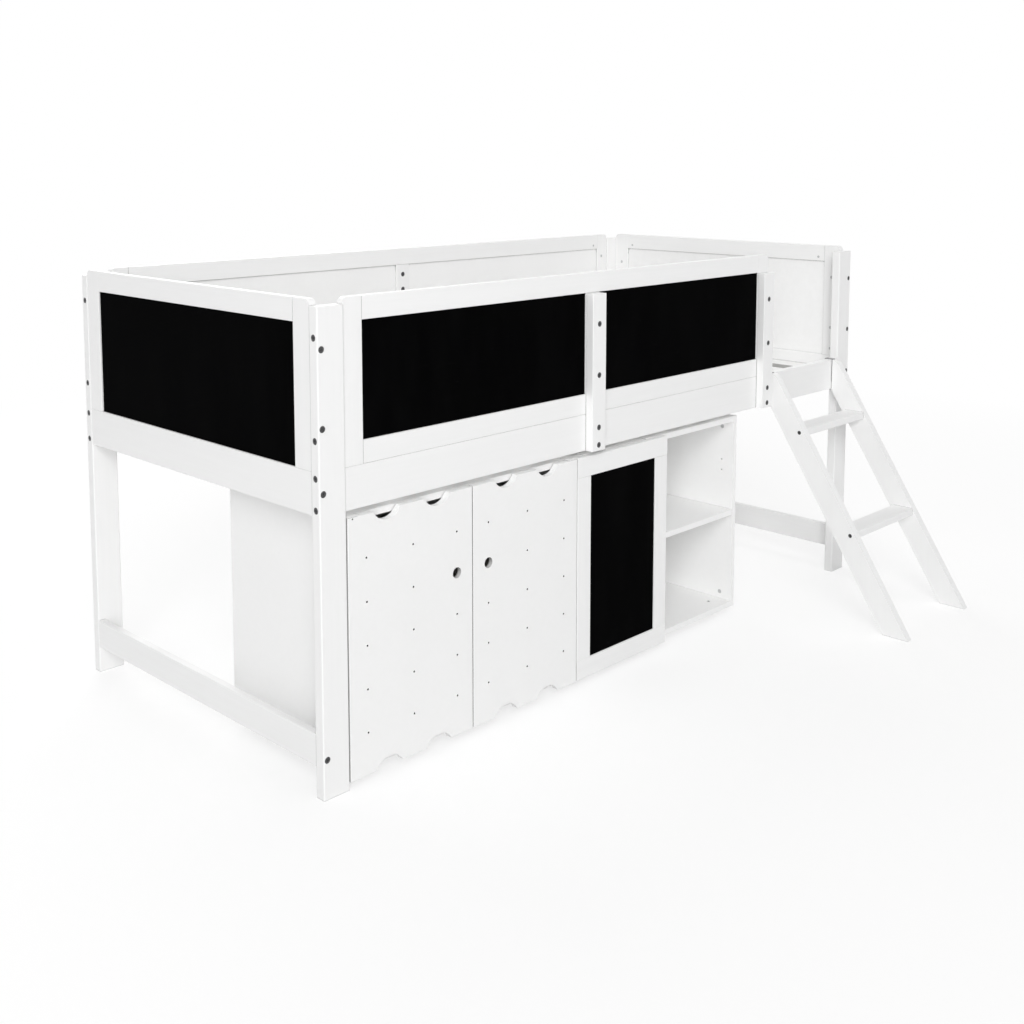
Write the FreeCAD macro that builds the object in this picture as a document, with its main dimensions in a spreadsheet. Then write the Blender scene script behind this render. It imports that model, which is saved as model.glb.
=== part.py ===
import FreeCAD, Part
import os
import re

import Sketcher

# Children's loft bed in millimetres. X runs from the head end to the foot end, Y from the ladder side to
# the back and Z up. The places below are measured from the head end, the front face of the posts and the
# floor; the finished part has its origin on the floor, in the middle of everything that stands on it.

SIZES = {
    # Whole bed
    "bed_length": 2080,
    "bed_width": 968,
    "overrun": 5,
    # Corner posts
    "post_height": 1024,
    "post_width": 67,
    "post_thick": 27,
    "post_ease": 3,
    # Bed rails that carry the sleeping deck
    "rail_bottom": 596.5,
    "rail_height": 91.5,
    "rail_thick": 22,
    "front_recess": 4,
    "end_recess": 1,
    "lower_rail_bottom": 66,
    "lower_rail_height": 70,
    "board_ease": 1.5,
    # Framed guards and end panels
    "guard_height": 350,
    "frame_thick": 18,
    "frame_width": 50,
    "end_stile_width": 55,
    "ear_radius": 14,
    "ladder_opening": 397,
    "panel_recess": 5,
    "panel_thick": 8,
    "panel_play": 0.4,
    "groove_depth": 8,
    # Battens that tie the guards to the rails
    "batten_width": 50,
    "batten_thick": 22,
    "batten_drop": 2,
    # Sleeping deck
    "cleat_thick": 25,
    "cleat_height": 30,
    "cleat_drop": 54,
    "slat_width": 72,
    "slat_thick": 18,
    "slat_play": 1,
    # Bolts, barrel nuts and cam fittings
    "bolt_diameter": 6,
    "bolt_head_diameter": 14,
    "bolt_head_thick": 2.6,
    "bolt_sink": 0.4,
    "bolt_play": 0.2,
    "bolt_grip": 40,
    "socket_across": 5,
    "socket_depth": 1.8,
    "nut_diameter": 10,
    "nut_reach": 28,
    "nut_tail": 5,
    "nut_sink": 0.5,
    "guard_bolt_drop": 77,
    "guard_bolt_rise": 64,
    "rail_bolt_inset": 13,
    "end_bolt_drop": 100,
    "end_bolt_rise": 89,
    "end_rail_bolt_rise": 47.5,
    "lower_rail_bolt_rise": 20,
    "batten_top_drop": 80,
    "batten_bolt_drop": 126,
    "batten_bolt_rise": 97,
    "batten_rail_drop": 33.5,
    "batten_rail_rise": 14,
    "cam_diameter": 8,
    "cam_depth": 11,
    "cam_reach": 22,
    "cam_rise": 12.5,
    # Under-bed cupboard and bookcase carcasses
    "unit_width": 714,
    "unit_height": 560,
    "unit_depth": 406,
    "unit_board": 15,
    "unit_back": 4,
    "foot_height": 22,
    "foot_diameter": 30,
    "foot_side": 59,
    "foot_front": 46,
    "foot_access": 11,
    "foot_stud_diameter": 9.4,
    "foot_stud_rise": 13,
    "shelf_rise": 257,
    "shelf_play": 0.5,
    "pin_diameter": 5,
    "pin_length": 16,
    "pin_front": 39,
    "spare_pin_rise": 128,
    "spare_pin_pitch": 31,
    "fitting_diameter": 12,
    "fitting_depth": 11.5,
    "fitting_margin": 20,
    # Doors
    "door_thick": 16,
    "door_side_gap": 3,
    "door_meeting_gap": 3,
    "door_back_gap": 4,
    "door_top_gap": 0.5,
    "door_hang": 6,
    "door_ease": 1.5,
    "notch_radius": 42.5,
    "notch_depth": 22.5,
    "notch_spread": 71.5,
    "peg_diameter": 4.5,
    "peg_column": 129,
    "peg_row": 95,
    "finger_diameter": 25,
    # Pivot hinges of the two cupboard doors
    "pivot_edge": 8,
    "pivot_front": 6,
    "pivot_diameter": 4,
    "pivot_play": 0.05,
    "pivot_length": 14,
    "pivot_plate": 2,
    "pivot_width": 26,
    "pivot_nose": 5,
    "pivot_tail": 36,
    # Sliding chalkboard door
    "slide_width": 359,
    "slide_frame": 50,
    "slide_board": 5,
    "slide_recess": 4,
    "track_inset": 14,
    "track_width": 9,
    "track_depth": 8,
    "track_wall": 1.5,
    "hanger_width": 30,
    "hanger_thick": 2,
    "hanger_leg": 34,
    "hanger_inset": 40,
    "hanger_play": 0.6,
    "runner_thick": 3,
    "runner_play": 0.3,
    # Hook-on ladder
    "ladder_reach": 452,
    "ladder_foot": 76,
    "ladder_seat": 96,
    "ladder_side_gap": 20,
    "ladder_width": 370,
    "stringer_thick": 22,
    "stringer_round": 25,
    "stringer_ease": 2,
    "step_height": 268.5,
    "tread_thick": 20,
    "tread_depth": 64,
    "tread_bolt_inset": 12,
    "tread_bolt_head": 11,
    "hook_width": 14,
    "hook_thick": 2,
    "hook_play": 1,
    "hook_front_leg": 70,
    "hook_back_leg": 24,
}

SLAT_COUNT = 16

# Places worked out from the sizes above.
PLACES = {
    "middle_x": "bed_length / 2",
    "back_face": "bed_width - front_recess + batten_thick",
    "middle_y": "(back_face - ladder_reach) / 2",
    "rail_top": "rail_bottom + rail_height",
    "guard_top": "rail_top + guard_height",
    "opening_top": "guard_top - frame_width",
    "foot_post": "bed_length - post_width",
    "back_post": "bed_width - post_thick",
    "foot_frame": "bed_length - end_recess - frame_thick",
    "back_frame": "bed_width - front_recess - frame_thick",
    "back_rail": "bed_width - front_recess - rail_thick",
    "frame_middle": "frame_thick / 2",
    "side_bolt_line": "front_recess + frame_middle",
    "end_bolt_line": "end_recess + frame_middle",
    "guard_end": "foot_post - ladder_opening",
    "front_centre": "(post_width + guard_end) / 2",
    "groove_thick": "panel_thick + panel_play",
    "groove_recess": "panel_recess - panel_play / 2",
    "groove_back": "groove_recess + groove_thick",
    "panel_back": "panel_recess + panel_thick",
    "panel_tuck": "groove_depth - panel_play",
    "rail_inside": "front_recess + rail_thick",
    "cleat_top": "rail_top - cleat_drop",
    "deck_top": "cleat_top + slat_thick",
    "deck_start": "end_recess + frame_thick + slat_play",
    "slat_pitch": "(bed_length - 2 * deck_start - slat_width) / (slat_count - 1)",
    "batten_top": "opening_top - batten_drop",
    "bolt_bore": "bolt_diameter + 2 * bolt_play",
    "head_bore": "bolt_head_diameter + 2 * bolt_play",
    "tread_head_bore": "tread_bolt_head + 2 * bolt_play",
    "head_depth": "bolt_head_thick + bolt_sink",
    "unit_start": "post_width",
    "unit_front": "door_thick + door_back_gap",
    "unit_rear": "unit_front + unit_depth - unit_back",
    "unit_top": "foot_height + unit_height",
    "inner_bottom": "foot_height + unit_board",
    "inner_top": "unit_top - unit_board",
    "bookcase_start": "unit_start + unit_width",
    "slide_start": "bookcase_start + door_side_gap",
    "shelf_bottom": "inner_bottom + shelf_rise",
    "pin_row": "shelf_bottom - pin_diameter / 2",
    "door_bottom": "foot_height - door_hang",
    "door_top": "unit_top - door_top_gap",
    "door_middle": "(door_bottom + door_top) / 2",
    "door_width": "(unit_width - door_side_gap - door_meeting_gap) / 2",
    "pivot_bore": "pivot_diameter + 2 * pivot_play",
    "track_start": "unit_front + track_inset",
    "track_middle": "track_start + track_width / 2",
    "ladder_start": "guard_end + ladder_side_gap",
    "ladder_inside": "ladder_width - 2 * stringer_thick",
    "ladder_seat_bottom": "rail_top - ladder_seat",
    "ladder_run": "(ladder_reach - ladder_foot) / ladder_seat_bottom",
}

AXES = {
    "x": FreeCAD.Vector(1, 0, 0),
    "y": FreeCAD.Vector(0, 1, 0),
    "z": FreeCAD.Vector(0, 0, 1),
}

doc = FreeCAD.newDocument("loft_bed")
sheet = doc.addObject("Spreadsheet::Sheet", "Sizes")
for row, (alias, size) in enumerate(SIZES.items(), start=1):
    sheet.set(f"A{row}", alias)
    sheet.set(f"B{row}", str(size))
    sheet.setAlias(f"B{row}", alias)
doc.recompute()


def formula(text):
    """The text with each place written out and each size read from the sheet."""

    def swap(match):
        word = match.group(0)
        if word == "slat_count":
            return str(SLAT_COUNT)
        if word in PLACES:
            return "(" + formula(PLACES[word]) + ")"
        return "Sizes." + word

    return re.sub(r"[a-z][a-z_]+", swap, str(text))


def bind(item, prop, text):
    item.setExpression(prop, formula(text))


def bind_point(item, prop, point):
    for axis, place in zip("xyz", point):
        bind(item, f"{prop}.{axis}", place)


def towards(direction):
    """The turn that carries +Z to a direction such as +x or -y."""
    aim = AXES[direction[1]] * (1 if direction[0] == "+" else -1)
    return FreeCAD.Rotation(AXES["z"], aim)


class Piece:
    """One solid: a body with its own corner, whose features are placed in the bed's own measures."""

    def __init__(self, label, corner):
        self.body = doc.addObject("PartDesign::Body", label)
        self.corner = corner
        shift = ("middle_x", "middle_y", "0")
        bind_point(self.body, "Placement.Base", [f"{c} - {s}" for c, s in zip(corner, shift)])

    def add(self, kind, point, sizes, turn=None):
        feature = self.body.newObject(f"PartDesign::{kind}", f"{self.body.Name}_{kind}")
        if turn:
            feature.Placement = FreeCAD.Placement(FreeCAD.Vector(), turn)
        bind_point(feature, "Placement.Base", [f"{p} - ({c})" for p, c in zip(point, self.corner)])
        for prop, text in sizes.items():
            bind(feature, prop, text)
        return self

    def block(self, point, size):
        return self.add("AdditiveBox", point, dict(zip(("Length", "Width", "Height"), size)))

    def trench(self, point, size):
        return self.add("SubtractiveBox", point, dict(zip(("Length", "Width", "Height"), size)))

    def rod(self, point, direction, diameter, length):
        sizes = {"Radius": f"({diameter}) / 2", "Height": length}
        return self.add("AdditiveCylinder", point, sizes, towards(direction))

    def bore(self, point, direction, diameter, depth, through=False):
        sign = "-" if direction[0] == "+" else "+"
        start = [f"{p} {sign} overrun" if axis == direction[1] else p for axis, p in zip("xyz", point)]
        extra = "2 * overrun" if through else "overrun"
        sizes = {"Radius": f"({diameter}) / 2", "Height": f"{depth} + {extra}"}
        return self.add("SubtractiveCylinder", start, sizes, towards(direction))

    def round_edges(self, radius, along, on=None, off=None):
        """Round the straight edges along one axis that lie on some sides of the piece and off others."""
        doc.recompute()
        base = self.body.Tip
        box = base.Shape.BoundBox
        limits = {
            "low": dict(zip("xyz", (box.XMin, box.YMin, box.ZMin))),
            "high": dict(zip("xyz", (box.XMax, box.YMax, box.ZMax))),
        }

        def lies(point, sides):
            gaps = [abs(point[axis] - limits[side][axis]) for axis, side in sides.items()]
            return all(gap < Part.Precision.confusion() for gap in gaps)

        names = []
        for number, edge in enumerate(base.Shape.Edges, start=1):
            if edge.Curve.TypeId != "Part::GeomLine":
                continue
            if edge.Curve.Direction.cross(AXES[along]).Length > Part.Precision.angular():
                continue
            middle = dict(zip("xyz", edge.CenterOfMass))
            if lies(middle, on or {}) and not (off and lies(middle, off)):
                names.append(f"Edge{number}")
        fillet = self.body.newObject("PartDesign::Fillet", f"{self.body.Name}_round")
        fillet.Base = (base, names)
        bind(fillet, "Radius", radius)
        return self


parts = []


def keep(piece):
    """A solid that is a node by itself."""
    parts.append(piece.body)


def keep_set(label, pieces):
    """Several like solids that share one node."""
    node = doc.addObject("Part::Compound", label)
    node.Links = [piece.body for piece in pieces]
    parts.append(node)


def copies(label, seats):
    """A node of repeated fittings: each seat gives the fitting, its point and its turn."""
    links = []
    for piece, point, turn in seats:
        link = doc.addObject("App::Link", f"{label}_copy")
        link.LinkedObject = piece.body
        link.Placement = FreeCAD.Placement(FreeCAD.Vector(), turn)
        shift = ("middle_x", "middle_y", "0")
        bind_point(link, "Placement.Base", [f"{p} - {s}" for p, s in zip(point, shift)])
        links.append(link)
    node = doc.addObject("Part::Compound", label)
    node.Links = links
    parts.append(node)


def board(label, corner, size, ease=None, along=None):
    piece = Piece(label, corner).block(corner, size)
    if ease:
        piece.round_edges(ease, along)
    return piece


def profile(label, corner, points, width, trims=()):
    """A bent or sawn side view, points in Y and Z from the corner, carried along X over the width."""
    piece = Piece(label, corner)
    sketch = piece.body.newObject("Sketcher::SketchObject", f"{label}_outline")
    side = [plane for plane in piece.body.Origin.OriginFeatures if plane.Role == "YZ_Plane"]
    sketch.AttachmentSupport = [(side[0], "")]
    sketch.MapMode = "FlatFace"
    count = len(points)
    ring = [FreeCAD.Rotation(AXES["z"], 360 * step / count).multVec(AXES["x"]) for step in range(count)]
    for step in range(count):
        sketch.addGeometry(Part.LineSegment(ring[step], ring[(step + 1) % count]), False)
    for step in range(count):
        sketch.addConstraint(Sketcher.Constraint("Coincident", step, 2, (step + 1) % count, 1))
    for step, point in enumerate(points):
        for kind, text, axis in zip(("DistanceX", "DistanceY"), point, (-2, -1)):
            if text == 0:
                sketch.addConstraint(Sketcher.Constraint("PointOnObject", step, 1, axis))
                continue
            number = sketch.addConstraint(Sketcher.Constraint(kind, -1, 1, step, 1, 1))
            bind(sketch, f"Constraints[{number}]", text)
    pad = piece.body.newObject("PartDesign::Pad", f"{label}_pad")
    pad.Profile = sketch
    bind(pad, "Length", width)
    return piece


# Corner posts: flat boards, bolted to the end frames through their faces and to the rails and guards
# through their edges.

GUARD_BOLTS = ("guard_top - guard_bolt_drop", "rail_top + guard_bolt_rise")
RAIL_BOLTS = ("rail_top - rail_bolt_inset", "rail_bottom + rail_bolt_inset")
STILE_BOLTS = ("guard_top - end_bolt_drop", "rail_top + end_bolt_rise")
END_RAIL_BOLTS = ("rail_bottom + end_rail_bolt_rise",)
LOWER_RAIL_BOLTS = ("lower_rail_bottom + lower_rail_bolt_rise",)
END_BOLTS = STILE_BOLTS + END_RAIL_BOLTS + LOWER_RAIL_BOLTS

# Each corner: its label, its X and Y, and the heights of the bolts along the bed.
CORNERS = [
    ("post_front_head", "0", "0", GUARD_BOLTS + RAIL_BOLTS),
    ("post_front_foot", "foot_post", "0", RAIL_BOLTS),
    ("post_back_head", "0", "back_post", GUARD_BOLTS + RAIL_BOLTS),
    ("post_back_foot", "foot_post", "back_post", GUARD_BOLTS + RAIL_BOLTS),
]


def bolt_lines(label):
    """Where a post's bolts start and which way they run: along the bed, then across it."""
    head = label.endswith("head")
    front = "front" in label
    face_x, way_x = ("0", "+x") if head else ("bed_length", "-x")
    face_y, way_y = ("0", "+y") if front else ("bed_width", "-y")
    line_x = "end_bolt_line" if head else "bed_length - end_bolt_line"
    line_y = "side_bolt_line" if front else "bed_width - side_bolt_line"
    return (face_x, line_y, way_x), (line_x, face_y, way_y)


for label, x, y, heights in CORNERS:
    post = board(label, (x, y, "0"), ("post_width", "post_thick", "post_height"), "post_ease", "z")
    (face_x, line_y, way_x), (line_x, face_y, way_y) = bolt_lines(label)
    for height in heights:
        post.bore((face_x, line_y, height), way_x, "bolt_bore", "post_width", through=True)
        post.bore((face_x, line_y, height), way_x, "head_bore", "head_depth")
    for height in END_BOLTS:
        post.bore((line_x, face_y, height), way_y, "bolt_bore", "post_thick", through=True)
        post.bore((line_x, face_y, height), way_y, "head_bore", "head_depth")
    keep(post)


# End frames: two stiles, a top rail, the bed rail below them, a chalkboard between, and a low stretcher.

def bolt_seats(piece, heights, along_bed, x_side, y_side, inner_face):
    """Bores for bolts that enter a member's end from a post, and for the barrel nuts that hold them."""
    head = x_side == "head"
    front = y_side == "front"
    for height in heights:
        if along_bed:
            line = "side_bolt_line" if front else "bed_width - side_bolt_line"
            start, way = ("post_width", "+x") if head else ("foot_post", "-x")
            nut = "post_width + nut_reach" if head else "foot_post - nut_reach"
            piece.bore((start, line, height), way, "bolt_bore", "bolt_grip + bolt_play")
            away = "-y" if front else "+y"
            reach = f"{inner_face} - ({line})" if front else f"{line} - ({inner_face})"
            piece.bore((nut, inner_face, height), away, "nut_diameter", f"{reach} + nut_tail")
        else:
            line = "end_bolt_line" if head else "bed_length - end_bolt_line"
            start, way = ("post_thick", "+y") if front else ("back_post", "-y")
            nut = "post_thick + nut_reach" if front else "back_post - nut_reach"
            piece.bore((line, start, height), way, "bolt_bore", "bolt_grip + bolt_play")
            away = "-x" if head else "+x"
            piece.bore((inner_face, nut, height), away, "nut_diameter", "frame_middle + nut_tail")


def stretcher_seats(piece, end):
    """Bores for the bolts of a low stretcher, whose barrel nuts go in from its underside."""
    line = "end_bolt_line" if end == "head" else "bed_length - end_bolt_line"
    for start, way, nut in (("post_thick", "+y", "post_thick + nut_reach"),
                            ("back_post", "-y", "back_post - nut_reach")):
        for height in LOWER_RAIL_BOLTS:
            piece.bore((line, start, height), way, "bolt_bore", "bolt_grip + bolt_play")
        piece.bore((line, nut, "lower_rail_bottom"), "+z", "nut_diameter",
                   "lower_rail_bolt_rise + nut_tail")


def cam_seat(piece, point, away):
    piece.bore(point, away, "cam_diameter", "cam_depth + nut_sink")


def end_frame(end):
    head = end == "head"
    x = "end_recess" if head else "foot_frame"
    inner = "end_recess + frame_thick" if head else "foot_frame"
    away = "-x" if head else "+x"
    groove_x = "end_recess + groove_recess" if head else "bed_length - end_recess - groove_back"
    panel_x = "end_recess + panel_recess" if head else "bed_length - end_recess - panel_back"
    opening = "guard_height - frame_width"
    width = "back_post - post_thick"
    stiles = []
    for side in ("front", "back"):
        y = "post_thick" if side == "front" else "back_post - end_stile_width"
        outer = "low" if side == "front" else "high"
        name = f"{end}_stile_{side}"
        stile = Piece(name, (x, y, "rail_top"))
        stile.block((x, y, "rail_top"), ("frame_thick", "end_stile_width", "guard_height"))
        stile.round_edges("ear_radius", "x", {"y": outer, "z": "high"})
        stile.round_edges("board_ease", "z", off={"y": outer})
        groove_y = "post_thick + end_stile_width - groove_depth" if side == "front" else f"{y} - overrun"
        stile.trench((groove_x, groove_y, "rail_top - overrun"),
                     ("groove_thick", "groove_depth + overrun", f"{opening} + groove_depth + overrun"))
        bolt_seats(stile, STILE_BOLTS, False, end, side, inner)
        cam_y = "post_thick + nut_reach" if side == "front" else "back_post - nut_reach"
        cam_seat(stile, (inner, cam_y, "rail_top + cam_reach"), away)
        stiles.append(stile)
    keep_set(f"{end}_stiles", stiles)

    top_y = "post_thick + end_stile_width"
    top_length = f"{width} - 2 * end_stile_width"
    top = board(f"{end}_top_rail", (x, top_y, "opening_top"), ("frame_thick", top_length, "frame_width"),
                "board_ease", "y")
    top.trench((groove_x, f"{top_y} - overrun", "opening_top - overrun"),
               ("groove_thick", f"{top_length} + 2 * overrun", "groove_depth + overrun"))
    for cam_y in (f"{top_y} + cam_reach", f"{top_y} + {top_length} - cam_reach"):
        cam_seat(top, (inner, cam_y, "opening_top + cam_rise"), away)
    keep(top)

    rail = board(f"{end}_bed_rail", (x, "post_thick", "rail_bottom"), ("frame_thick", width, "rail_height"),
                 "board_ease", "y")
    rail.trench((groove_x, f"{top_y} - groove_depth", "rail_top - groove_depth"),
                ("groove_thick", f"{top_length} + 2 * groove_depth", "groove_depth + overrun"))
    for side in ("front", "back"):
        bolt_seats(rail, END_RAIL_BOLTS, False, end, side, inner)
    keep(rail)

    low = board(f"{end}_lower_rail", (x, "post_thick", "lower_rail_bottom"),
                ("frame_thick", width, "lower_rail_height"), "board_ease", "y")
    stretcher_seats(low, end)
    keep(low)

    keep(board(f"{end}_chalkboard", (panel_x, f"{top_y} - panel_tuck", "rail_top - panel_tuck"),
               ("panel_thick", f"{top_length} + 2 * panel_tuck", f"{opening} + 2 * panel_tuck")))


end_frame("head")
end_frame("foot")


# Side rails between the posts, with the cleats that the slats lie on.

# Battens stand outside the guards. Their bolts go in from the front, so the back batten's heads are inside.
BATTENS = {"front": ("front_centre", "guard_end - frame_width / 2"), "back": ("middle_x",)}
BATTEN_STILE_BOLTS = {
    "front": ("guard_top - batten_bolt_drop", "rail_top + batten_bolt_rise"),
    "back": ("guard_top - batten_top_drop", "guard_top - batten_bolt_drop", "rail_top + batten_bolt_rise"),
}
BATTEN_RAIL_BOLTS = {
    "front": ("rail_top - batten_rail_drop", "rail_bottom + batten_rail_rise"),
    "back": ("rail_top - batten_rail_drop",),
}
clear_length = "foot_post - post_width"


def side_rail(side):
    front = side == "front"
    y = "front_recess" if front else "back_rail"
    inner = "rail_inside" if front else "back_rail"
    rail = board(f"{side}_bed_rail", ("post_width", y, "rail_bottom"),
                 (clear_length, "rail_thick", "rail_height"), "board_ease", "x")
    for end in ("head", "foot"):
        bolt_seats(rail, RAIL_BOLTS, True, end, side, inner)
    for x in BATTENS[side]:
        for height in BATTEN_RAIL_BOLTS[side]:
            rail.bore((x, y, height), "+y", "bolt_bore", "rail_thick", through=True)
            if not front:
                rail.bore((x, y, height), "+y", "head_bore", "head_depth")
    keep(rail)


side_rail("front")
side_rail("back")

cleats = []
for side in ("front", "back"):
    y = "rail_inside" if side == "front" else "back_rail - cleat_thick"
    cleats.append(board(f"{side}_cleat", ("post_width", y, "cleat_top - cleat_height"),
                        (clear_length, "cleat_thick", "cleat_height"), "board_ease", "x"))
keep_set("slat_cleats", cleats)

slat_length = "bed_width - 2 * rail_inside - 2 * slat_play"
slats = []
for number in range(SLAT_COUNT):
    x = f"deck_start + {number} * slat_pitch"
    slats.append(board(f"slat_{number + 1}", (x, "rail_inside + slat_play", "cleat_top"),
                       ("slat_width", slat_length, "slat_thick"), "board_ease", "y"))
keep_set("slats", slats)


# Guards: framed panels that stand on the side rails. The front one stops short of the ladder.

def guard(side):
    front = side == "front"
    y = "front_recess" if front else "back_frame"
    inner = "front_recess + frame_thick" if front else "back_frame"
    away = "-y" if front else "+y"
    end = "guard_end" if front else "foot_post"
    centre = "front_centre" if front else "middle_x"
    groove_y = "front_recess + groove_recess" if front else "bed_width - front_recess - groove_back"
    panel_y = "front_recess + panel_recess" if front else "bed_width - front_recess - panel_back"
    size = ("frame_width", "frame_thick", "guard_height")
    inner_start = "post_width + frame_width"
    inner_end = f"{end} - frame_width"

    left = Piece(f"{side}_guard_head_stile", ("post_width", y, "rail_top"))
    left.block(("post_width", y, "rail_top"), size)
    left.round_edges("ear_radius", "y", {"x": "low", "z": "high"})
    left.round_edges("board_ease", "z", {"x": "high"})
    bolt_seats(left, GUARD_BOLTS, True, "head", side, inner)

    right = Piece(f"{side}_guard_foot_stile", (inner_end, y, "rail_top"))
    right.block((inner_end, y, "rail_top"), size)
    right.round_edges("ear_radius", "y", {"x": "high", "z": "high"})
    right.round_edges("board_ease", "z", {"x": "low"})
    if not front:
        bolt_seats(right, GUARD_BOLTS, True, "foot", side, inner)

    middle_start = f"{centre} - frame_width / 2"
    middle = board(f"{side}_guard_centre_stile", (middle_start, y, "rail_top"),
                   ("frame_width", "frame_thick", "guard_height - frame_width"), "board_ease", "z")
    if front:
        cam_seat(middle, (centre, inner, "opening_top - nut_reach"), away)

    groove_height = "guard_height - 2 * frame_width + 2 * groove_depth"
    groove_bottom = "rail_top + frame_width - groove_depth"
    for stile, x in ((left, f"{inner_start} - groove_depth"),
                     (right, f"{inner_end} - overrun"),
                     (middle, f"{middle_start} - overrun"),
                     (middle, f"{middle_start} + frame_width - groove_depth")):
        top_overrun = "overrun" if stile is middle else "0"
        stile.trench((x, groove_y, groove_bottom),
                     ("groove_depth + overrun", "groove_thick", f"{groove_height} + {top_overrun}"))
    for x in BATTENS[side]:
        stile = right if x != centre else middle
        for height in BATTEN_STILE_BOLTS[side]:
            stile.bore((x, y, height), "+y", "bolt_bore", "frame_thick", through=True)
            if not front:
                stile.bore((x, y, height), "+y", "head_bore", "head_depth")
    keep_set(f"{side}_guard_stiles", [left, middle, right])

    top_length = f"{inner_end} - ({inner_start})"
    top = board(f"{side}_guard_top_rail", (inner_start, y, "opening_top"),
                (top_length, "frame_thick", "frame_width"), "board_ease", "x")
    top.trench((f"{inner_start} - overrun", groove_y, "opening_top - overrun"),
               (f"{top_length} + 2 * overrun", "groove_thick", "groove_depth + overrun"))
    for x in (f"{inner_start} + cam_reach", f"{inner_end} - cam_reach"):
        cam_seat(top, (x, inner, "opening_top + cam_rise"), away)
    keep(top)

    lows = []
    boards = []
    for place, start, stop in (("head", inner_start, middle_start),
                               ("foot", f"{middle_start} + frame_width", inner_end)):
        span = f"{stop} - ({start})"
        low = board(f"{side}_guard_low_rail_{place}", (start, y, "rail_top"),
                    (span, "frame_thick", "frame_width"), "board_ease", "x")
        low.trench((f"{start} - overrun", groove_y, "rail_top + frame_width - groove_depth"),
                   (f"{span} + 2 * overrun", "groove_thick", "groove_depth + overrun"))
        lows.append(low)
        boards.append(board(f"{side}_guard_board_{place}",
                            (f"{start} - panel_tuck", panel_y, "rail_top + frame_width - panel_tuck"),
                            (f"{span} + 2 * panel_tuck", "panel_thick",
                             "guard_height - 2 * frame_width + 2 * panel_tuck")))
    keep_set(f"{side}_guard_low_rails", lows)
    keep_set("front_chalkboards" if front else "back_panels", boards)


guard("front")
guard("back")

battens = []
for side, places in BATTENS.items():
    front = side == "front"
    y = "front_recess - batten_thick" if front else "bed_width - front_recess"
    for number, x in enumerate(places, start=1):
        batten = board(f"{side}_batten_{number}", (f"{x} - batten_width / 2", y, "rail_bottom"),
                       ("batten_width", "batten_thick", "batten_top - rail_bottom"), "board_ease", "z")
        for height in BATTEN_STILE_BOLTS[side] + BATTEN_RAIL_BOLTS[side]:
            batten.bore((x, y, height), "+y", "bolt_bore", "batten_thick", through=True)
            if front:
                batten.bore((x, y, height), "+y", "head_bore", "head_depth")
        battens.append(batten)
keep_set("guard_battens", battens)


# Under-bed units: two carcasses of the same boards on glide feet, each with a thin back.

def side_fittings(piece, face, away):
    """Cam fittings near a side board's corners and the holes for shelf pins, on its inner face."""
    for y in FITTING_ROWS:
        for z in FITTING_HEIGHTS:
            piece.bore((face, y, z), away, "fitting_diameter", "fitting_depth")
        for z in PIN_HEIGHTS:
            piece.bore((face, y, z), away, "pin_diameter", "pin_length / 2")


FITTING_ROWS = ("unit_front + pin_front", "unit_rear - pin_front")
FITTING_HEIGHTS = ("inner_bottom + fitting_margin", "inner_top - fitting_margin")
PIN_HEIGHTS = (
    "pin_row",
    "pin_row + spare_pin_rise",
    "pin_row + spare_pin_rise + spare_pin_pitch",
)
board_depth = "unit_rear - unit_front"
inner_height = "inner_top - inner_bottom"


def carcass(name, start):
    end = f"{start} + unit_width"
    sides = []
    for side, x, face, away in (("head", start, f"{start} + unit_board", "-x"),
                                ("foot", f"{end} - unit_board", f"{end} - unit_board", "+x")):
        panel = board(f"{name}_{side}_side", (x, "unit_front", "inner_bottom"),
                      ("unit_board", board_depth, inner_height))
        side_fittings(panel, face, away)
        sides.append(panel)
    keep_set(f"{name}_sides", sides)

    lying = ("unit_width", board_depth, "unit_board")
    bottom = board(f"{name}_bottom", (start, "unit_front", "foot_height"), lying)
    for x in (f"{start} + foot_side", f"{end} - foot_side"):
        for y in ("unit_front + foot_front", "unit_rear - foot_front"):
            bottom.bore((x, y, "inner_bottom"), "-z", "foot_access", "unit_board", through=True)
    top = board(f"{name}_top", (start, "unit_front", "inner_top"), lying)
    keep(board(f"{name}_back", (start, "unit_rear", "foot_height"),
               ("unit_width", "unit_back", "unit_height")))
    return bottom, top


def shelf(label, start, stop):
    return board(label, (f"{start} + shelf_play", "unit_front + shelf_play", "shelf_bottom"),
                 (f"{stop} - ({start}) - 2 * shelf_play", f"{board_depth} - 2 * shelf_play", "unit_board"))


for board_piece in carcass("cupboard", "unit_start"):
    keep(board_piece)
keep(shelf("cupboard_shelf", "unit_start + unit_board", "unit_start + unit_width - unit_board"))

bookcase_bottom, bookcase_top = carcass("bookcase", "bookcase_start")
divider_start = "bookcase_start + (unit_width - unit_board) / 2"
divider = board("bookcase_divider", (divider_start, "unit_front", "inner_bottom"),
                ("unit_board", board_depth, inner_height))
keep_set("bookcase_shelves", [
    shelf("bookcase_head_shelf", "bookcase_start + unit_board", divider_start),
    shelf("bookcase_foot_shelf", f"{divider_start} + unit_board",
          "bookcase_start + unit_width - unit_board"),
])
for y in FITTING_ROWS:
    divider.bore((divider_start, y, "pin_row"), "+x", "pin_diameter", "unit_board", through=True)
keep(divider)


# Sliding door: its hangers ride in a channel sunk in the top board, its keepers in one under the bottom.

TRACKS = (("top", "unit_top - track_depth"), ("bottom", "foot_height"))
for tracked, (place, z) in ((bookcase_top, TRACKS[0]), (bookcase_bottom, TRACKS[1])):
    tracked.trench(("bookcase_start - overrun", "track_start", z if place == "top" else f"{z} - overrun"),
                   ("unit_width + 2 * overrun", "track_width", "track_depth + overrun"))
    keep(tracked)

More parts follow.
